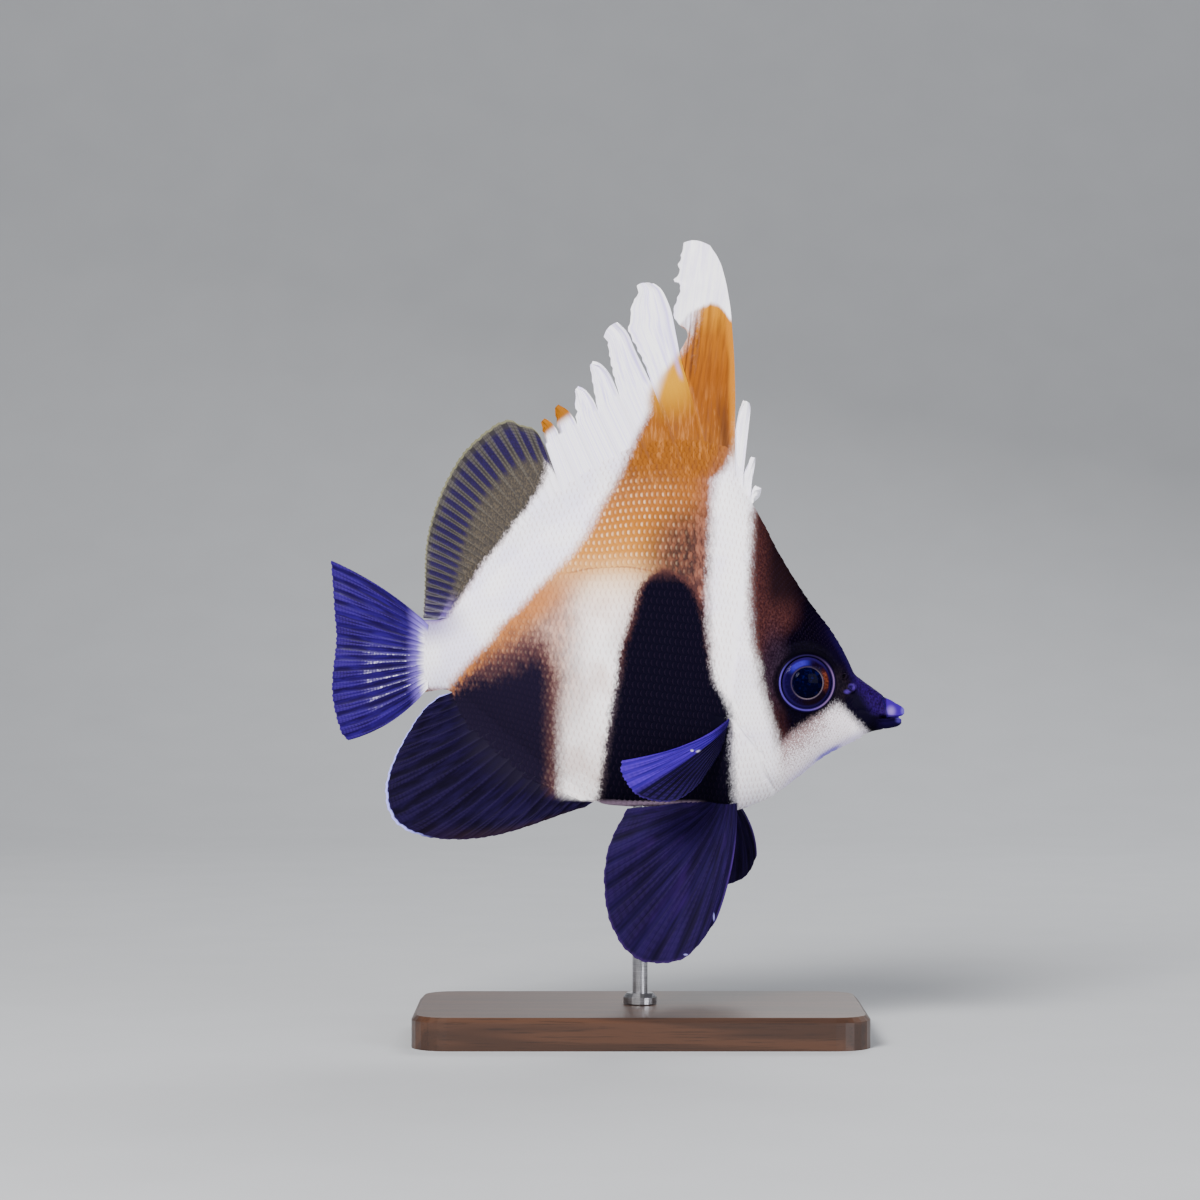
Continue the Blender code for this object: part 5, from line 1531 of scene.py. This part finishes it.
def anal_material(markings):
    """Nearly black, marked as the blotch is at its root, with a lilac line round its rear."""
    tones = (8, 4, 22), (19, 10, 44), (28, 18, 54)
    n, colour, (_, line, _, streak) = dark_fin("anal_membrane", 0.6, 0.0, tones, 0.5, 0.975, (34, 18, 64))
    colour = colour.mix(n.share.step(0.7, 0.95) * n.number.step(11.0, 6.0) * 0.5, (36, 22, 26))
    colour = colour.mix(n.share.step(0.972, 0.988) * n.number.step(8.5, 10.5), EDGE_LILAC)
    colour = colour.mix(n.number.step(18.9, 19.0) * 0.8, EDGE_LILAC)
    root = (n.share + (streak - 0.5) * 0.2).step(0.36, 0.1)
    return n.wear(colour.mix(root, n.marked(markings)[0]), line, 0.00008, 0.5)


def tail_material():
    """Violet with beaded pale rays, painted glints on the rays low down, and white at its root."""
    tones = (18, 4, 52), (32, 9, 92), (58, 36, 122)
    n, colour, (away, line, beads, streak) = dark_fin(
        "tail_membrane", 0.45, 0.03, tones, 0.45, 0.985, (48, 24, 104)
    )
    low = n.number.step(6.5, 8.5)
    gaps = away.step(0.3, 0.46) * low * n.share.step(0.7, 0.3)
    colour = colour.mix(gaps * 0.65, (6, 3, 20))
    # painted glints on the beads of the lower rays
    shine = low * n.number.step(14.5, 12.5) * n.share.step(0.75, 0.5)
    painted_glints = n.noise(n.place(), 700.0, 2.0, 0.6).step(0.5, 0.62)
    colour = colour.mix(shine * beads * (painted_glints * 0.65 + 0.15), (222, 216, 250))
    root = n.share + (streak - 0.5) * 0.16
    colour = colour.mix(root.step(0.26, 0.08), (104, 86, 168))
    return n.wear(colour.mix(root.step(0.13, 0.0) * n.number.step(0.5, 4.5), WHITE), line, 0.00008, 0.5)


def pectoral_material():
    """A violet blade along the leading rays, partly the fin's own colour and partly painted light where they
    catch it, with two painted glints, and a dark fan below.
    """
    tones = (4, 1, 17), (9, 3, 34), (34, 18, 76)
    n, colour, (_, line, beads, streak) = dark_fin(
        "pectoral_membrane", 0.5, 0.0, tones, 0.7, 0.985, (50, 28, 104)
    )
    x, z = n.side_view()
    # the blade's violet is partly the fin's own colour and partly painted light on the upper rays; two
    # painted glints lie on it
    violet = streak.tones(0.3, 0.7, (36, 8, 110), (58, 18, 150)).mix(beads * 0.15, (108, 70, 190))
    painted_glints = n.ellipse(x, z, 14.4, 71.7, 0.6, 0.3, 0.9) | n.ellipse(x, z, 12.6, 72.0, 0.3, 0.22, 0.9)
    violet = violet.mix(painted_glints * 0.8, (230, 224, 250))
    lit_blade = (n.number + (streak - 0.5) * 0.8).step(4.6, 3.2) * (n.share.step(0.05, 0.4) * 0.75 + 0.25)
    return n.wear(colour.mix(lit_blade, violet), line)


def pelvic_material():
    """Dark violet with painted shade in the folds between the rays, a paler glow, a leading edge of its own
    and two small painted glints.
    """
    tones = (13, 5, 34), (22, 10, 54), (34, 19, 66)
    n, colour, (away, line, _, _) = dark_fin("pelvic_membrane", 0.6, 0.0, tones, 0.35, 0.985, (50, 28, 80))
    x, z = n.side_view()
    # painted shade in the folds midway between the rays
    colour = n.mix(away.step(0.4, 0.48) * 0.5, colour, (100, 84, 140), "MULTIPLY")
    glow = n.noise(n.stretch(n.ray_map, 0.5, 2.2, 1.0), 1.0, 3.0, 0.7)
    colour = colour.mix(glow.step(0.5, 0.72) * 0.5, (36, 13, 70))
    colour = colour.mix(n.number.step(0.35, 0.1) * n.share.step(0.2, 0.5), (50, 28, 90))
    # two painted glints on the leading edge
    painted_glints = n.ellipse(x, z, 18.2, 30.5, 0.2, 0.9, 0.5) | n.ellipse(x, z, 11.2, 21.3, 0.5, 0.2, 0.5)
    return n.wear(colour.mix(painted_glints * 0.55, (160, 156, 236)), line)


def eye_material():
    """Dark mottled pupil, thin golden ring, blue-violet iris with an orange patch in front, turning bluer
    towards the upper left as painted light, with a painted highlight there.
    """
    n = Finish("eye", 0.3, 0.03, 0.1, specular=0.0)
    x, z = n.side_view()
    dx, dz = x - EYE_X, z - EYE_Z
    radius = n.length(dx, dz)
    turn = n.math("ARCTAN2", dz, dx)
    fibre = n.noise(n.join(turn * 5.0, radius * 0.5, 0.0), 2.2, 3.0, 0.6)
    # painted light: the iris turns bluer towards its upper left, and the next mask lays a painted highlight
    # on that side
    iris = (dz * 0.4 - dx).tones(-2.0, 5.0, (10, 3, 18), (9, 3, 38))
    upper_left_highlight = abs(turn - 2.0).step(0.75, 0.15) * radius.between(4.0, 4.6, 5.4, 6.0)
    iris = iris.mix(upper_left_highlight * 0.75, (48, 32, 150)).mix(fibre.step(0.45, 0.7) * 0.4, (24, 10, 62))
    front = abs(turn - 0.1).step(0.75, 0.2) * radius.between(4.1, 4.5, 5.2, 5.7)
    iris = iris.mix(front * 0.85, fibre.tones(0.4, 0.7, (66, 28, 16), (116, 58, 36)))
    low = abs(turn + 1.1).step(0.9, 0.3) * radius.step(4.1, 4.6)
    iris = iris.mix(low * 0.8, (16, 7, 14)).mix(radius.step(5.3, 6.0) * 0.8, (26, 13, 66))
    gold = radius.between(3.78, 3.9, 4.0, 4.25) * ((dz - dx).step(2.0, -4.0) * 0.4 + 0.15)
    iris = iris.mix(gold, (112, 98, 108))
    pupil = n.noise(n.place(), 950.0, 3.0, 0.7).tones(0.5, 0.72, (0, 0, 18), (1, 2, 58))
    return n.wear(pupil.mix(radius.step(3.7, 3.85), iris), fibre, 0.00004, 0.3)


def wood_material():
    """Dark stained wood with its grain along the board."""
    n = Finish("stained_wood", 0.4, 0.25, 0.25, specular=0.4)
    place = n.place()
    warp = n.noise(n.stretch(place, 4.0, 40.0, 60.0), 1.0, 3.0, 0.6)
    bands = n.math("SINE", (n.split(place)[1] + warp * 0.05) * 700.0)
    pores = n.noise(n.stretch(place, 50.0, 1400.0, 1400.0), 1.6, 3.0, 0.6)
    colour = bands.tones(-0.9, 0.9, (50, 30, 20), (66, 41, 27)).mix(pores.step(0.5, 0.7) * 0.6, (28, 16, 10))
    return n.wear(colour, pores + bands * 0.1, 0.0001, 0.3)


def steel_material():
    """Brushed steel, its fine lines round the rod."""
    n = Finish("brushed_steel", 0.3, metallic=1.0)
    lines = n.noise(n.stretch(n.place(), 200.0, 200.0, 9000.0), 1.0, 2.0, 0.5)
    return n.wear(lines.tones(0.3, 0.7, (150, 150, 154), (188, 188, 192)), lines, 0.00004, 0.4)


def floor_material():
    n = Finish("studio_paper", 0.85)
    return n.wear(n.mix(n.noise(n.place(), 30.0, 2.0), (160, 162, 166), (166, 168, 172)))


# Studio, in metres: each light's name, place, size, power and colour
LIGHTS = [
    ("key", (-0.5, -0.95, 0.9), (0.5, 0.5), 45, (1.0, 0.98, 0.95)),
    ("fill", (0.9, -0.8, 0.35), (0.7, 0.6), 12, (0.93, 0.95, 1.0)),
    ("back", (0.3, 0.8, 0.7), (0.6, 0.3), 8, (1.0, 1.0, 1.0)),
]
LIT_PLACE = (0, 0, 0.1)
FRAME_MIDDLE = (-0.010, 0.109)
CAMERA_DISTANCE = 0.9


def make_stage():
    """A pale sweep of paper: flat under the stand and curved up behind it."""
    width, front, rear, radius, height, steps = 6.0, -2.2, 1.4, 0.7, 3.0, 16
    profile = [(front, 0.0), (rear - radius, 0.0)]
    for k in range(1, steps + 1):
        angle = math.pi / 2 * k / steps
        profile.append((rear - radius + radius * math.sin(angle), radius - radius * math.cos(angle)))
    profile.append((rear, height))
    points = [(side * width / 2, y, z) for y, z in profile for side in (-1, 1)]
    faces = [(2 * i, 2 * i + 1, 2 * i + 3, 2 * i + 2) for i in range(len(profile) - 1)]
    mesh = bpy.data.meshes.new("floor")
    mesh.from_pydata(points, [], faces)
    put_in_scene("floor", mesh, floor_material())


def aim(made, target):
    made.rotation_mode = "QUATERNION"
    made.rotation_quaternion = (Vector(target) - made.location).to_track_quat("-Z", "Y")


def add_light(name, place, size, power, colour):
    light = bpy.data.lights.new(name, "AREA")
    light.shape = "RECTANGLE"
    light.size, light.size_y = size
    light.energy = power
    light.color = colour
    made = bpy.data.objects.new(name, light)
    bpy.context.scene.collection.objects.link(made)
    made.location = place
    aim(made, LIT_PLACE)


def add_studio():
    world = bpy.data.worlds.new("studio")
    bpy.context.scene.world = world
    world.use_nodes = True
    sky = world.node_tree.nodes["Background"].inputs
    sky["Color"].default_value = (0.9, 0.92, 1.0, 1)
    sky["Strength"].default_value = 0.15
    for light in LIGHTS:
        add_light(*light)


def add_camera():
    """The photo's level side view, with a frame of 300 mm at the fish."""
    camera = bpy.data.cameras.new("camera")
    made = bpy.data.objects.new("camera", camera)
    bpy.context.scene.collection.objects.link(made)
    camera.lens = 108
    camera.sensor_width = 36
    x, z = FRAME_MIDDLE
    made.location = (x, -CAMERA_DISTANCE, z)
    aim(made, (x, 0, z))
    camera.clip_start = 0.01
    bpy.context.scene.camera = made


def attach(piece, slot, *nodes):
    """The piece rides on the fish and stands for the solids named. The slot is not used."""
    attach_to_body(piece, "root")
    if nodes:
        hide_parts(*nodes)


def main():
    markings = paint_markings()
    skin = make_skin(skin_material(markings))
    attach(skin, "skin", "head", "torso", "caudal_peduncle", "upper_jaw", "lower_jaw")
    eye = eye_material()
    for word, side in SIDES.items():
        attach(make_eye("eyeball_" + word, side, eye), "eye", "eye_" + word)
    attach(make_soft_dorsal(soft_dorsal_material(markings)), "pale_fin", "dorsal_fin_soft")
    attach(make_lobes("banner", 0, BANNER_LOBES, banner_material(markings)), "pale_fin", "dorsal_fin_spinous")
    rear_lobes = make_lobes("rear_lobes", BANNER_LOBES, len(DORSAL_LOBES), lobe_material(markings))
    attach(rear_lobes, "pale_fin", "dorsal_fin_spinous")
    attach(make_anal(anal_material(markings)), "dark_fin", "anal_fin")
    attach(make_tail_fin(tail_material()), "dark_fin", "caudal_fin")
    pectoral, pelvic = pectoral_material(), pelvic_material()
    flank = Flank()
    body_scales = scale_material("body_scales", markings, 0.2)
    head_scales = scale_material("head_scales", markings, 0.1)
    draw = np.random.default_rng(7)
    body_places, head_places = body_scale_places(flank), head_scale_places(flank)
    for word, side in SIDES.items():
        attach(make_pectoral("pectoral_rays_" + word, side, pectoral), "dark_fin", "pectoral_fin_" + word)
        pelvic_fin = make_pelvic("pelvic_rays_" + word, side, PELVIC_POSE[word], pelvic)
        attach(pelvic_fin, "dark_fin", "pelvic_fin_" + word)
        for part, places in body_places.items():
            name = "body_scales_" + part + "_" + word
            attach(make_scales(name, side, flank, places, ROW_ARCH, draw, body_scales), "skin")
        name = "head_scales_" + word
        attach(make_scales(name, side, flank, head_places, HEAD_ARCH, draw, head_scales), "skin")
    for node, material in (("stand_base", wood_material()), ("stand_rod", steel_material())):
        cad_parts[node].data.materials.clear()
        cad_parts[node].data.materials.append(material)
    make_stage()
    add_studio()
    add_camera()


main()
